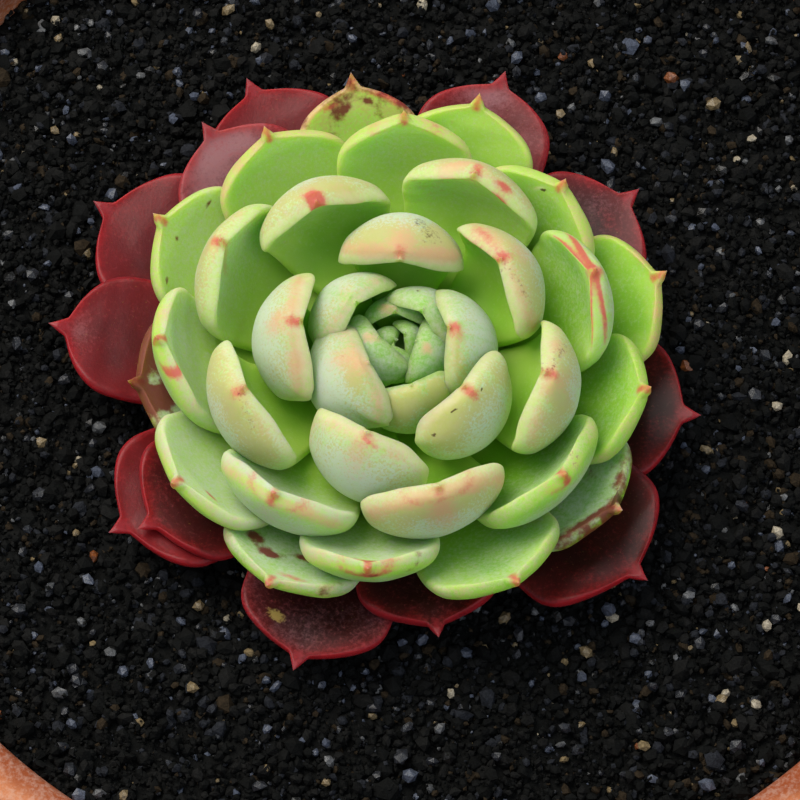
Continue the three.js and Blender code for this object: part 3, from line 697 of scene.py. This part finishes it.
# Leaves whose margin waves more: its height in millimetres, and how many waves run along the blade
WAVY = {7: (0.3, 2.2), 10: (0.5, 2.6), 12: (0.4, 2.1), 15: (0.55, 1.8), 31: (0.3, 1.8), 38: (0.35, 1.5),
        46: (0.5, 1.4), 55: (0.4, 1.6)}


def midrib(root, belly, tip):
    """A quadratic curve from root by way of belly to tip, as points and directions at even steps of its
    parameter, and the length run up to each."""
    t = np.linspace(0, 1, CURVE_STEPS)[:, None]
    points = (1 - t) ** 2 * root + 2 * t * (1 - t) * belly + t**2 * tip
    ahead = (1 - t) * (belly - root) + t * (tip - belly)
    ahead /= np.hypot(*ahead.T)[:, None]
    run = np.concatenate([[0], np.cumsum(np.hypot(*np.diff(points, axis=0).T))])
    return points, ahead, run


def leaf_surface(age):
    """A leaf as rings across its midrib, from the root to the spine's point, and what painting needs to know
    of it. The midrib is a quadratic curve in a plane through the stem's axis, and its end turns backwards on
    an arc. Half the width swells with a quarter wave, closes like a rounded end, and runs out into a short
    cone with hollow flanks. A ring has a nearly flat upper face and a round back that is keeled towards the
    tip, and between them a margin that is half a circle. Its sides bend up by the cup, and low waves run
    along the margin."""
    fact = {key: np.interp(age, STAGES["age"], values) for key, values in STAGES.items()}
    turn, reach, extra_width, swing, skew, bend = (own.get(age, 0) for own in DEPARTURES.values())
    tip = np.array([fact["tip_out"] + reach - bend, fact["tip_up"]])
    belly = np.array([fact["belly_out"] + BELLY_REACH * reach + BELLY_BEND[0] * bend,
                      fact["belly_up"] + BELLY_BEND[1] * bend])
    root = np.array([crown_radius(fact["root"]), fact["root"]])
    root -= (belly - root) / np.hypot(*(belly - root)) * ROOT_DEPTH
    points, ahead, run = midrib(root, belly, tip)
    length, hook = run[-1], math.radians(max(fact["hook"], 0.1))
    spine = fact["spine"] * (1 - HOOKED_SHORTER * math.sin(hook))

    # where the rings stand, close together towards the point
    at = (length + spine) * np.sin(np.arange(STATIONS) / STATIONS * np.pi / 2)
    blade_end = length + BLADE_OVER_SPINE * spine
    along = np.clip(at / blade_end, 0, 1)
    past = np.clip((at - blade_end) / (length + spine - blade_end), 0, 1)
    curled = np.clip((at - length) / spine, 0, 1)
    steps = np.linspace(0, 1, CURVE_STEPS)
    t = np.interp(at, run, steps)
    centre = np.stack([np.interp(t, steps, points[:, i]) for i in (0, 1)], -1)
    direction = np.stack([np.interp(t, steps, ahead[:, i]) for i in (0, 1)], -1)
    end_ahead, end_back = ahead[-1], np.array([ahead[-1][1], -ahead[-1][0]])
    arc = np.stack([np.sin(hook * curled), 1 - np.cos(hook * curled)], -1) * spine / hook
    centre += arc[:, :1] * end_ahead + arc[:, 1:] * end_back
    hooked = np.cos(hook * curled)[:, None] * end_ahead + np.sin(hook * curled)[:, None] * end_back
    direction = np.where(at[:, None] > length, hooked, direction)

    end = np.clip((along - WIDEST) / (1 - WIDEST), 0, 1)
    swell = quarter_wave(along / WIDEST) ** SWELLING
    blade = 0.5 * (fact["width"] + extra_width) * (ROOT_WIDTH + (1 - ROOT_WIDTH) * swell)
    grown = smooth(age, *GROWING)
    steep, blunt = (young + (old - young) * grown for young, old in zip(YOUNG_END, GROWN_END))
    blade *= (1 - end**steep) ** blunt
    to_point = length + spine - at
    cone = 0.5 * np.minimum(to_point, spine + CONE_WIDEST) ** CONE_POWER
    cone = cone * smooth(-to_point, -CONE_FROM * spine, -CONE_FULL * spine)
    half = (blade**2 + cone**2) ** 0.5
    swell = quarter_wave(along / THICKEST) ** SWELLING
    depth = fact["thick"] * (ROOT_THICKNESS + (1 - ROOT_THICKNESS) * swell)
    depth *= 1 - RIM_THINNING * np.clip((along - THICKEST) / (1 - THICKEST), 0, 1) ** 2
    depth = np.minimum(depth, DEEPEST * half)
    cupping = 2 * fact["cup"] * smooth(along, *CUPPED) * (1 - smooth(past, 0, 0.5))
    shift = swing * smooth(along, 0, SWUNG) + skew * smooth(along, SKEWED_FROM, 1)

    angle = np.arange(SIDES) * 2 * np.pi / SIDES
    across, through = np.cos(angle)[None], np.sin(angle)[None]
    back_power = BACK_SHAPE + (KEEL_SHAPE - BACK_SHAPE) * smooth(along, KEELED_FROM, 1.0)[:, None]
    left = half[:, None] * across
    rim = np.minimum(RIM_ROUND, RIM_MOST * np.minimum(depth, 2 * half))[:, None]
    over_rim = np.clip((np.abs(left) - half[:, None] + rim) / rim, 0, 1)
    upper = np.maximum(UPPER_SHARE * depth[:, None] - rim, 0) * np.maximum(through, 0)
    lower = np.maximum((1 - UPPER_SHARE) * depth[:, None] - rim, 0) * np.maximum(-through, 0) ** back_power
    up = upper - lower + np.sign(through) * rim * np.sqrt(1 - over_rim**2)
    up = up + (cupping * half)[:, None] * across**2
    wave_height, wave_count = WAVY.get(age, (WAVE_HEIGHT, WAVE_COUNT))
    phase = 2 * np.pi * wave_count * along[:, None] + np.where(across > 0, 0.0, OTHER_MARGIN) + age
    flutter = (np.sin(phase) + 0.4 * np.sin(2.7 * phase)) * np.abs(across) ** 3
    up = up + wave_height * flutter * (smooth(along, *WAVES_COME) * (1 - smooth(along, *WAVES_GO)))[:, None]
    lumps = waves(at[:, None] / LUMP_SIZE, left / LUMP_SIZE + 5 * np.sign(through), LUMP_SEED + age)
    up = up + LUMP_HEIGHT * (lumps - 1) * (np.minimum(1, half / 3) * (1 - past))[:, None] * np.abs(through)
    out = centre[:, :1] - up * direction[:, 1:]
    rise = centre[:, 1:] + up * direction[:, :1]

    azimuth = math.radians(FIRST_LEAF_ANGLE - GOLDEN_ANGLE * age + turn)
    point = tip + (math.sin(hook) * end_ahead + (1 - math.cos(hook)) * end_back) * spine / hook
    out = np.concatenate([out.ravel(), [centre[0, 0], point[0]]])
    rise = np.concatenate([rise.ravel(), [centre[0, 1], point[1]]])
    aside = np.concatenate([(left + shift[:, None]).ravel(), [0, swing + skew]])
    surface = np.stack([out * math.cos(azimuth) - aside * math.sin(azimuth) + PLANT_X,
                        out * math.sin(azimuth) + aside * math.cos(azimuth) + PLANT_Y, rise + PLANT_Z], -1)
    slope = np.gradient(half, at)[:, None]
    to_rim = (half[:, None] - np.abs(left)) / np.sqrt(1 + slope**2) + 0.2 * np.abs(through)
    grid = {"at": at[:, None], "along": along[:, None], "past": past[:, None], "half": half[:, None],
            "left": left, "end": blade_end, "back": smooth(-through + 0 * left, 0.03, 0.4), "to_rim": to_rim}
    return surface, grid


# How densely each layer of paint lies, by age: fresh green, partly painted light and, in the bud, thin where
# it is painted shade, powdery wax on the back and on the upper face, yellow flecks, blush along the rim and
# the keel, the pale margin, the red of the tip, and maroon blotches.
PAINT = {
    "age": (0, 5, 8, 12, 20, 24, 31, 39, 40, 55),
    "fresh_and_lit": (0.05, 0.15, 0.35, 0.55, 0.8, 0.9, 0.9, 0.7, 0.6, 0.6),
    "back_bloom": (0.6, 0.7, 0.85, 0.95, 0.95, 0.65, 0.4, 0.25, 0.2, 0.2),
    "face_bloom": (0.35, 0.4, 0.2, 0.25, 0.35, 0.3, 0.2, 0.15, 0, 0),
    "gold": (0, 0.2, 0.5, 0.6, 0.5, 0.3, 0.25, 0.2, 0, 0),
    "blush": (0, 0.15, 0.4, 0.45, 0.55, 0.45, 0.4, 0.45, 0.6, 0.6),
    "rim": (0.2, 0.3, 0.5, 0.6, 0.45, 0.1, 0.1, 0.1, 0.6, 0.6),
    "coral": (0, 0.1, 0.5, 0.8, 0.9, 1, 1, 0.9, 0.9, 0.9),
    "maroon": (0, 0, 0, 0, 0, 0, 0, 0.1, 0.3, 0.3),
}
# Leaves whose own density takes the place of what their age says
PAINTED = {
    # painted light and shade: from age 40 on, these make the red leaves lighter where the window lights them
    # and darker where the rosette shades them
    "fresh_and_lit": {36: 0.25, 38: 0.1, 39: 0.3, 40: 0.9, 41: 0.1, 44: 0.25, 46: 0.3, 49: 0.2, 50: 0.8, 51: 0.3,
        52: 0.8},
    "face_bloom": {38: 0.5, 39: 0.3, 40: 0.3, 41: 0.1, 42: 0.6, 44: 0.1, 48: 0.2, 49: 0.3},
    "gold": {7: 1.2, 9: 0.4, 11: 0.8, 12: 0.9, 14: 1, 16: 0.9, 17: 0.9, 18: 1.1, 19: 1, 20: 0.9, 21: 0.9,
        23: 0.3, 37: 0.8, 38: 0, 39: 0.1},
    "blush": {7: 0.1, 8: 0.7, 10: 0.9, 11: 1.2, 12: 0.3, 13: 1, 14: 1, 15: 0.9, 17: 0.8, 18: 0.5, 19: 0.5,
        20: 1.2, 23: 0.8, 24: 0.7, 29: 0.6, 33: 0.4, 35: 0.6, 37: 1.2, 38: 0.2},
    "coral": {7: 0, 8: 0.15, 9: 0.6, 10: 0.3, 11: 0.3, 13: 1, 15: 0.4, 16: 1.2, 20: 0.6},
    "maroon": {36: 0.3, 37: 0.6, 38: 0.5, 39: 0.95},
}
# Marks on single leaves, by layer of paint: the leaf's age, where along the blade and where across it as
# shares, half length and half width in millimetres, and strength.
MARKS = {
    "bloom": ((40, 0.95, 0.4, 1.5, 3, 0.55), (42, 0.93, 0.15, 3, 2.6, 0.75),
        (42, 0.9, -0.35, 2, 2, 0.5), (47, 0.95, 0.05, 1.5, 2, 0.35)),
    "gold": ((9, 0.93, -0.85, 2, 1, 0.6), (10, 0.9, 0.2, 1, 1.4, 0.7), (11, 0.9, 0.35, 1.5, 3, 0.7),
        (11, 0.83, -0.6, 1.5, 2, 0.7), (12, 0.94, -0.8, 2.5, 1.5, 0.8), (16, 0.95, -0.85, 0.5, 3, 0.9),
        (17, 0.9, -0.35, 2.5, 1, 0.8), (18, 0.97, 0.2, 2, 1, 0.8), (20, 0.94, 0, 1, 4, 0.8),
        (21, 0.91, 0.2, 2.5, 0.6, 1)),
    "blush": ((3, 0.95, 0.5, 0.7, 0.8, 0.9), (4, 0.9, -0.2, 0.7, 0.8, 0.9), (5, 0.95, -0.3, 0.7, 0.8, 0.9),
        (10, 0.9, -0.35, 2, 1.4, 0.7), (19, 0.97, 0.9, 0.4, 3, 0.9)),
    "rim": ((27, 0.92, 0.35, 1.2, 0.25, 1.2),),
    "coral": ((9, 0.97, -0.4, 0.8, 1, 0.6), (11, 0.98, 0, 0.7, 0.8, 0.5), (12, 0.95, 0, 0.8, 0.6, 0.5),
        (14, 0.94, 0.9, 1.6, 0.6, 0.7), (15, 0.98, 0.5, 0.5, 0.7, 0.7), (16, 1, 0.4, 0.9, 0.5, 0.8),
        (16, 1, -0.6, 0.35, 1, 0.6), (19, 0.96, -0.9, 0.5, 0.4, 1.3), (20, 0.96, 0.75, 0.4, 2, 0.6),
        (20, 0.96, -0.75, 0.4, 2, 0.5), (22, 0.93, 0.95, 1.6, 0.2, 0.9), (22, 0.97, 0.95, 1.2, 0.2, 0.9),
        (22, 0.97, -0.92, 1.4, 0.2, 1), (22, 0.9, -0.95, 1.6, 0.2, 0.9), (23, 0.97, -0.94, 0.3, 2, 0.6),
        (23, 0.97, 0.94, 0.3, 2.5, 0.6), (24, 0.96, 0.95, 0.4, 2, 0.5), (24, 0.96, -0.95, 0.4, 2, 0.5),
        (25, 0.98, -0.6, 0.4, 1.5, 0.6), (26, 0.96, 0.95, 0.3, 1.4, 1.3), (28, 0.98, 0.5, 0.4, 2, 1),
        (28, 0.97, -0.6, 0.4, 1.6, 0.8), (30, 0.91, -0.25, 0.25, 0.25, 1.3), (31, 0.91, 0.45, 0.3, 0.9, 1.3),
        (35, 0.98, 0.95, 0.4, 2, 0.4), (36, 0.95, 0.4, 0.5, 2.2, 0.8), (37, 0.94, 0.6, 0.6, 1.2, 1.1),
        (37, 0.96, -0.95, 0.6, 1.5, 1.1), (37, 0.92, -0.95, 0.7, 1, 1)),
    "maroon": ((22, 0.95, 0.95, 2, 0.1, 0.6), (28, 0.98, 0.2, 0.5, 1.2, 0.8),
        (28, 0.93, 0.9, 0.4, 1.2, 0.7), (29, 0.83, 0.05, 0.25, 0.3, 0.9), (34, 0.87, -0.65, 0.4, 0.8, 0.95),
        (34, 0.91, 0.1, 0.45, 0.45, 0.9), (34, 0.87, 0.75, 0.4, 0.5, 0.9), (36, 0.8, -0.55, 0.9, 1.2, 1),
        (36, 0.85, -0.25, 0.8, 1.6, 1), (36, 0.77, 0.25, 0.7, 1.6, 1), (37, 0.92, 0.2, 0.6, 0.8, 0.9),
        (37, 0.94, -0.3, 0.4, 0.6, 0.8), (38, 0.96, -0.6, 1.5, 2, 0.7), (39, 0.95, -0.95, 2, 1.2, 0.9),
        (39, 0.94, 0.3, 1.6, 1.2, 0.8)),
    "scar": ((6, 0.86, 0.5, 0.14, 0.18, 1.6), (10, 0.87, -0.4, 1.6, 1, 0.36),
        (11, 0.84, -0.5, 1.6, 1.4, 0.52), (11, 0.78, -0.25, 1, 1, 0.5), (12, 0.95, 0.3, 0.1, 0.12, 1.6),
        (12, 0.95, -0.7, 0.12, 0.25, 1.6), (12, 0.86, -0.9, 0.2, 0.15, 1.6), (14, 0.5, -0.15, 0.2, 0.2, 1.6),
        (14, 0.94, -0.8, 2.5, 0.6, 0.45), (17, 0.94, 0.7, 2.5, 0.9, 0.5), (18, 0.96, 0.7, 2.5, 0.8, 0.42),
        (25, 0.98, 0.9, 0.4, 2.5, 0.4), (27, 0.94, 0.3, 0.4, 0.15, 1.2), (38, 1, 0.7, 0.5, 1, 1.2),
        (49, 0.88, -0.5, 0.9, 1.2, 1)),
}
# The plant's sides, as angles round its axis: the one that leans from the window, whose leaves are painted in
# shade, and the one whose wax no rain wears
SHADE_SIDE, WAXY_SIDE = math.radians(-30), math.radians(-125)
# painted shade: SHADE_DARKENS is how much darker the leaves on the side away from the window are drawn
SHADE_DARKENS, SHELTER_KEEPS = 0.75, 0.45  # how much less fresh the one is, and how much waxier the other
# What breaks the paint up, in millimetres: mottles, streaks along the leaf, blotches and worn patches of wax
MOTTLE_SIZE, STREAK_LENGTH, STREAK_WIDTH, BLOTCH_SIZE, WEAR_SIZE = 2.2, 9.0, 0.9, 3, 4
RIM_LINE = 0.32  # half width of the pale line along the margin


def painted(age, grid):
    """Attributes over a leaf, from the distance to its margin, tip and keel: each layer of paint is a product
    or a maximum of bells and smooth steps, times how dense it is at the leaf's age."""
    dense = {layer: np.interp(age, PAINT["age"], values) for layer, values in PAINT.items()}
    dense.update({layer: own[age] for layer, own in PAINTED.items() if age in own})
    # painted shade: leaves that lean away from the window are drawn a darker green, as if in shadow
    azimuth = math.radians(FIRST_LEAF_ANGLE - GOLDEN_ANGLE * age)
    shaded = 0.5 + 0.5 * math.cos(azimuth - SHADE_SIDE)
    dense["fresh_and_lit"] *= 1 - SHADE_DARKENS * shaded * smooth(age, 16, 24)
    if age < RED_FROM:  # and those on the near side keep more of their wax
        sheltered = 0.5 + 0.5 * math.cos(azimuth - WAXY_SIDE)
        dense["face_bloom"] += SHELTER_KEEPS * sheltered**2 * smooth(age, 12, 22)
    back, along, at, to_rim, left = (grid[key] for key in ("back", "along", "at", "to_rim", "left"))
    to_tip = np.hypot(np.maximum(grid["end"] - at, 0), left)
    mottle = waves(at / MOTTLE_SIZE, left / MOTTLE_SIZE, MOTTLE_SEED + age)
    streaks = waves(at / STREAK_LENGTH, left / STREAK_WIDTH, STREAK_SEED + age)
    blotches = waves(at / BLOTCH_SIZE, left / BLOTCH_SIZE, BLOTCH_SEED + age)
    outer = smooth(along, 0.45, 0.85)
    grown = smooth(age, 20, 26)
    keel = bell(left, 2.2) * smooth(along, 0.65, 0.98) * (1 - 0.7 * grown)
    near_rim = np.maximum(bell(to_rim, 1.5 - 0.75 * grown) * outer * (1 + 0.3 * grown), keel)
    sides = back + max(0.5 * smooth(age, 9, 14), grown) * (1 - back)
    back_bloom = back * (1 - (0.3 + 0.4 * grown) * bell(to_rim, 2.0)) * smooth(along, 0.05, 0.5)
    face_bloom = (1 - back) * smooth(along, 0.35, 0.85)
    paint = {
        # partly painted light and shade: lighter towards the tip and near the margin, darker towards the root
        # deep in the rosette
        "fresh_and_lit": dense["fresh_and_lit"] * (0.55 + 0.6 * smooth(along, 0.15, 0.95)) + 0.08 * mottle
                 + 0.35 * smooth(age, 10, 22) * bell(to_rim, 3.5),
        "bloom": (dense["back_bloom"] * back_bloom + dense["face_bloom"] * face_bloom) * (1 + 0.3 * streaks),
        "gold": dense["gold"] * sides * outer * (0.55 + 0.45 * bell(to_rim - 2.2, 2.0) + 0.3 * streaks),
        "blush": dense["blush"] * sides * near_rim * (0.9 + 0.5 * mottle),
        "rim": dense["rim"] * bell(to_rim, RIM_LINE) * smooth(along, 0.3, 0.6),
        "coral": dense["coral"] * np.maximum(bell(to_tip, 0.9 - 0.3 * grown) * (0.4 + 0.6 * sides),
                                             smooth(grid["past"], 0.1, 0.7)),
        "maroon": dense["maroon"] * (0.7 + 1.2 * blotches + 0.5 * bell(to_rim, 1.5)),
        "scar": np.zeros(left.shape),
    }
    if age >= RED_FROM:
        sunlit = smooth(along, 0.5, 0.95) * (0.5 + 0.5 * mottle)
        paint["blush"] = dense["blush"] * (sunlit + 0.6 * bell(to_rim, 1.4))
        # partly painted shade: the red leaves darken towards the root, where the green leaves lie over them;
        # the blotches are their own
        paint["maroon"] = 0.35 * (1 - smooth(along, 0.35, 0.75)) + 0.25 * mottle
        paint["bloom"] *= 0.7 + 0.8 * waves(at / WEAR_SIZE, left / WEAR_SIZE, WEAR_SEED + age)
    for layer, marks in MARKS.items():
        for _, where, across, half_length, half_width, strength in (mark for mark in marks if mark[0] == age):
            spot = bell(at - where * grid["end"], half_length)
            spot = spot * bell(left - across * grid["half"], half_width)
            paint[layer] = paint[layer] + strength * spot
    # the two closing points take the mean of the ring beside them
    return {key: np.concatenate([v.ravel(), [v[0].mean(), v[-1].mean()]]) for key, v in paint.items()}


def leaf_piece(age, material):
    """One leaf as a piece: its rings joined into a closed tube, and painted."""
    surface, grid = leaf_surface(age)
    replaced = "heart" if age < HEART_AGES else f"leaf_{age:02d}"
    make_piece(f"leaf_skin_{age:02d}", surface, list(tube_faces(STATIONS, SIDES)), material,
               (replaced,), painted(age, grid))


class SUCCULENT_OT_pale_leaves(Operator):
    """Grow the bud and the young leaves with their thick pale bloom"""

    bl_idname = "succulent.pale_leaves"
    bl_label = "Pale inner leaves"

    def execute(self, context):
        material = leaf_skin("leaf_skin_with_bloom", context.scene.succulent_pale_leaf, (0.6, 1.0, 0.25))
        for age in (a for a in AGES if a < PALE_UNTIL):
            leaf_piece(age, material)
        return {"FINISHED"}


class SUCCULENT_OT_green_leaves(Operator):
    """Grow the green leaves around them, which lie open to the light"""

    bl_idname = "succulent.green_leaves"
    bl_label = "Green leaves"

    def execute(self, context):
        material = leaf_skin("leaf_skin_green", context.scene.succulent_green_leaf, (0.6, 1.0, 0.2))
        for age in (a for a in AGES if PALE_UNTIL <= a < RED_FROM):
            leaf_piece(age, material)
        return {"FINISHED"}


class SUCCULENT_OT_red_leaves(Operator):
    """Grow the oldest leaves, which have turned red and lie over the grit"""

    bl_idname = "succulent.red_leaves"
    bl_label = "Red outer leaves"

    def execute(self, context):
        material = leaf_skin("leaf_skin_red", context.scene.succulent_red_leaf, (1.0, 0.3, 0.2))
        for age in (a for a in AGES if a >= RED_FROM):
            leaf_piece(age, material)
        return {"FINISHED"}


# ---- stage
RENDER_SIDE = 800
PIXELS_PER_MM = 8.75  # at the rosette's middle
AIM = (PLANT_X, PLANT_Y, PLANT_Z + 14)  # a point over the rosette, and where the view shows it, in pixels
AIM_PIXEL = (395, 345)
FLOOR_SIDE = 3.0  # in metres
SENSOR_WIDTH, NEAREST = 36.0, 0.01  # of the camera, in millimetres and in metres
SKY_COLOUR, SKY_STRENGTH = "#dde8f4", 0.55
LAMPS_AIM = (0, 0, 0.12)
# Lamps by name: their place and their side in metres, their power in watts and their colour
LAMPS = {
    "window": ((-0.28, 0.24, 0.68), 0.5, 5.6, "#fff9ef"),
    "fill": ((0.5, -0.35, 0.6), 0.7, 1.2, "#eaf1ff"),
}


class SUCCULENT_OT_stage(Operator):
    """Set the floor, the soft lights and the camera"""

    bl_idname = "succulent.stage"
    bl_label = "Stage"

    def execute(self, context):
        settings = context.scene.succulent_stage
        scene = context.scene
        half = FLOOR_SIDE / 2
        mesh = bpy.data.meshes.new("floor")
        corners = [(-half, -half, 0), (half, -half, 0), (half, half, 0), (-half, half, 0)]
        mesh.from_pydata(corners, [], [(0, 1, 2, 3)])
        # a board under matte paint: even, and without a glint
        material, tree, _ = start_material("matte_painted_board", {})
        end_material(tree, tuple(settings.floor), (), {"Roughness": 0.8})
        mesh.materials.append(material)
        floor = bpy.data.objects.new("floor", mesh)
        scene.collection.objects.link(floor)

        world = bpy.data.worlds.new("soft_daylight")
        world.use_nodes = True
        sky = world.node_tree.nodes["Background"]
        sky.inputs["Color"].default_value = linear(SKY_COLOUR)
        sky.inputs["Strength"].default_value = SKY_STRENGTH
        scene.world = world
        scene.view_settings.view_transform = "Standard"
        for name, (place, size, power, colour) in LAMPS.items():
            light = bpy.data.lights.new(name, "AREA")
            light.size, light.energy, light.color = size, power, linear(colour)[:3]
            lamp = bpy.data.objects.new(name, light)
            lamp.location = place
            lamp.rotation_euler = (Vector(LAMPS_AIM) - Vector(place)).to_track_quat("-Z", "Y").to_euler()
            scene.collection.objects.link(lamp)

        angle, distance = settings.elevation, settings.distance
        back = Vector((0, -math.cos(angle), math.sin(angle)))
        up = Vector((0, math.sin(angle), math.cos(angle)))
        target = Vector(AIM) * MM
        target.x -= (AIM_PIXEL[0] - RENDER_SIDE / 2) / PIXELS_PER_MM * MM
        target -= up * (RENDER_SIDE / 2 - AIM_PIXEL[1]) / PIXELS_PER_MM * MM
        camera = bpy.data.objects.new("camera", bpy.data.cameras.new("camera"))
        camera.data.lens, camera.data.sensor_width = settings.lens, SENSOR_WIDTH
        camera.data.clip_start = NEAREST
        turn = back.to_track_quat("Z", "Y").to_matrix().to_4x4()
        camera.matrix_world = Matrix.Translation(target + back * distance) @ turn
        scene.collection.objects.link(camera)
        scene.camera = camera
        return {"FINISHED"}


# ---- panel
PIECES = (
    (SUCCULENT_OT_stage, "succulent_stage", StageSettings),
    (SUCCULENT_OT_pot, "succulent_pot", PotSettings),
    (SUCCULENT_OT_grit, "succulent_grit", GritSettings),
    (SUCCULENT_OT_stem, "succulent_stem", StemSettings),
    (SUCCULENT_OT_pale_leaves, "succulent_pale_leaf", LeafSettings),
    (SUCCULENT_OT_green_leaves, "succulent_green_leaf", LeafSettings),
    (SUCCULENT_OT_red_leaves, "succulent_red_leaf", RedLeafSettings),
)


class SUCCULENT_PT_panel(Panel):
    """Lists the pieces with their settings"""

    bl_idname = "SUCCULENT_PT_panel"
    bl_label = "Potted rosette succulent"
    bl_space_type = "VIEW_3D"
    bl_region_type = "UI"
    bl_category = "Succulent"

    def draw(self, context):
        for operator, settings, group in PIECES:
            box = self.layout.box()
            box.operator(operator.bl_idname)
            for key in group.__annotations__:
                box.prop(getattr(context.scene, settings), key)


CLASSES = (PotSettings, GritSettings, StemSettings, LeafSettings, RedLeafSettings, StageSettings,
           *[operator for operator, _, _ in PIECES], SUCCULENT_PT_panel)


def register():
    """Registers every class, and hangs the settings on the scene."""
    for cls in CLASSES:
        bpy.utils.register_class(cls)
    for _, settings, group in PIECES:
        setattr(bpy.types.Scene, settings, PointerProperty(type=group))


def unregister():
    """Takes the settings off the scene again, and then the classes, last first."""
    for _, settings, _ in PIECES:
        delattr(bpy.types.Scene, settings)
    for cls in reversed(CLASSES):
        bpy.utils.unregister_class(cls)


def main():
    """Makes the stage and every piece."""
    register()
    bpy.ops.succulent.stage()
    bpy.ops.succulent.pot()
    bpy.ops.succulent.grit()
    bpy.ops.succulent.stem()
    bpy.ops.succulent.pale_leaves()
    bpy.ops.succulent.green_leaves()
    bpy.ops.succulent.red_leaves()
    bpy.context.view_layer.update()


if __name__ == "__main__":
    main()
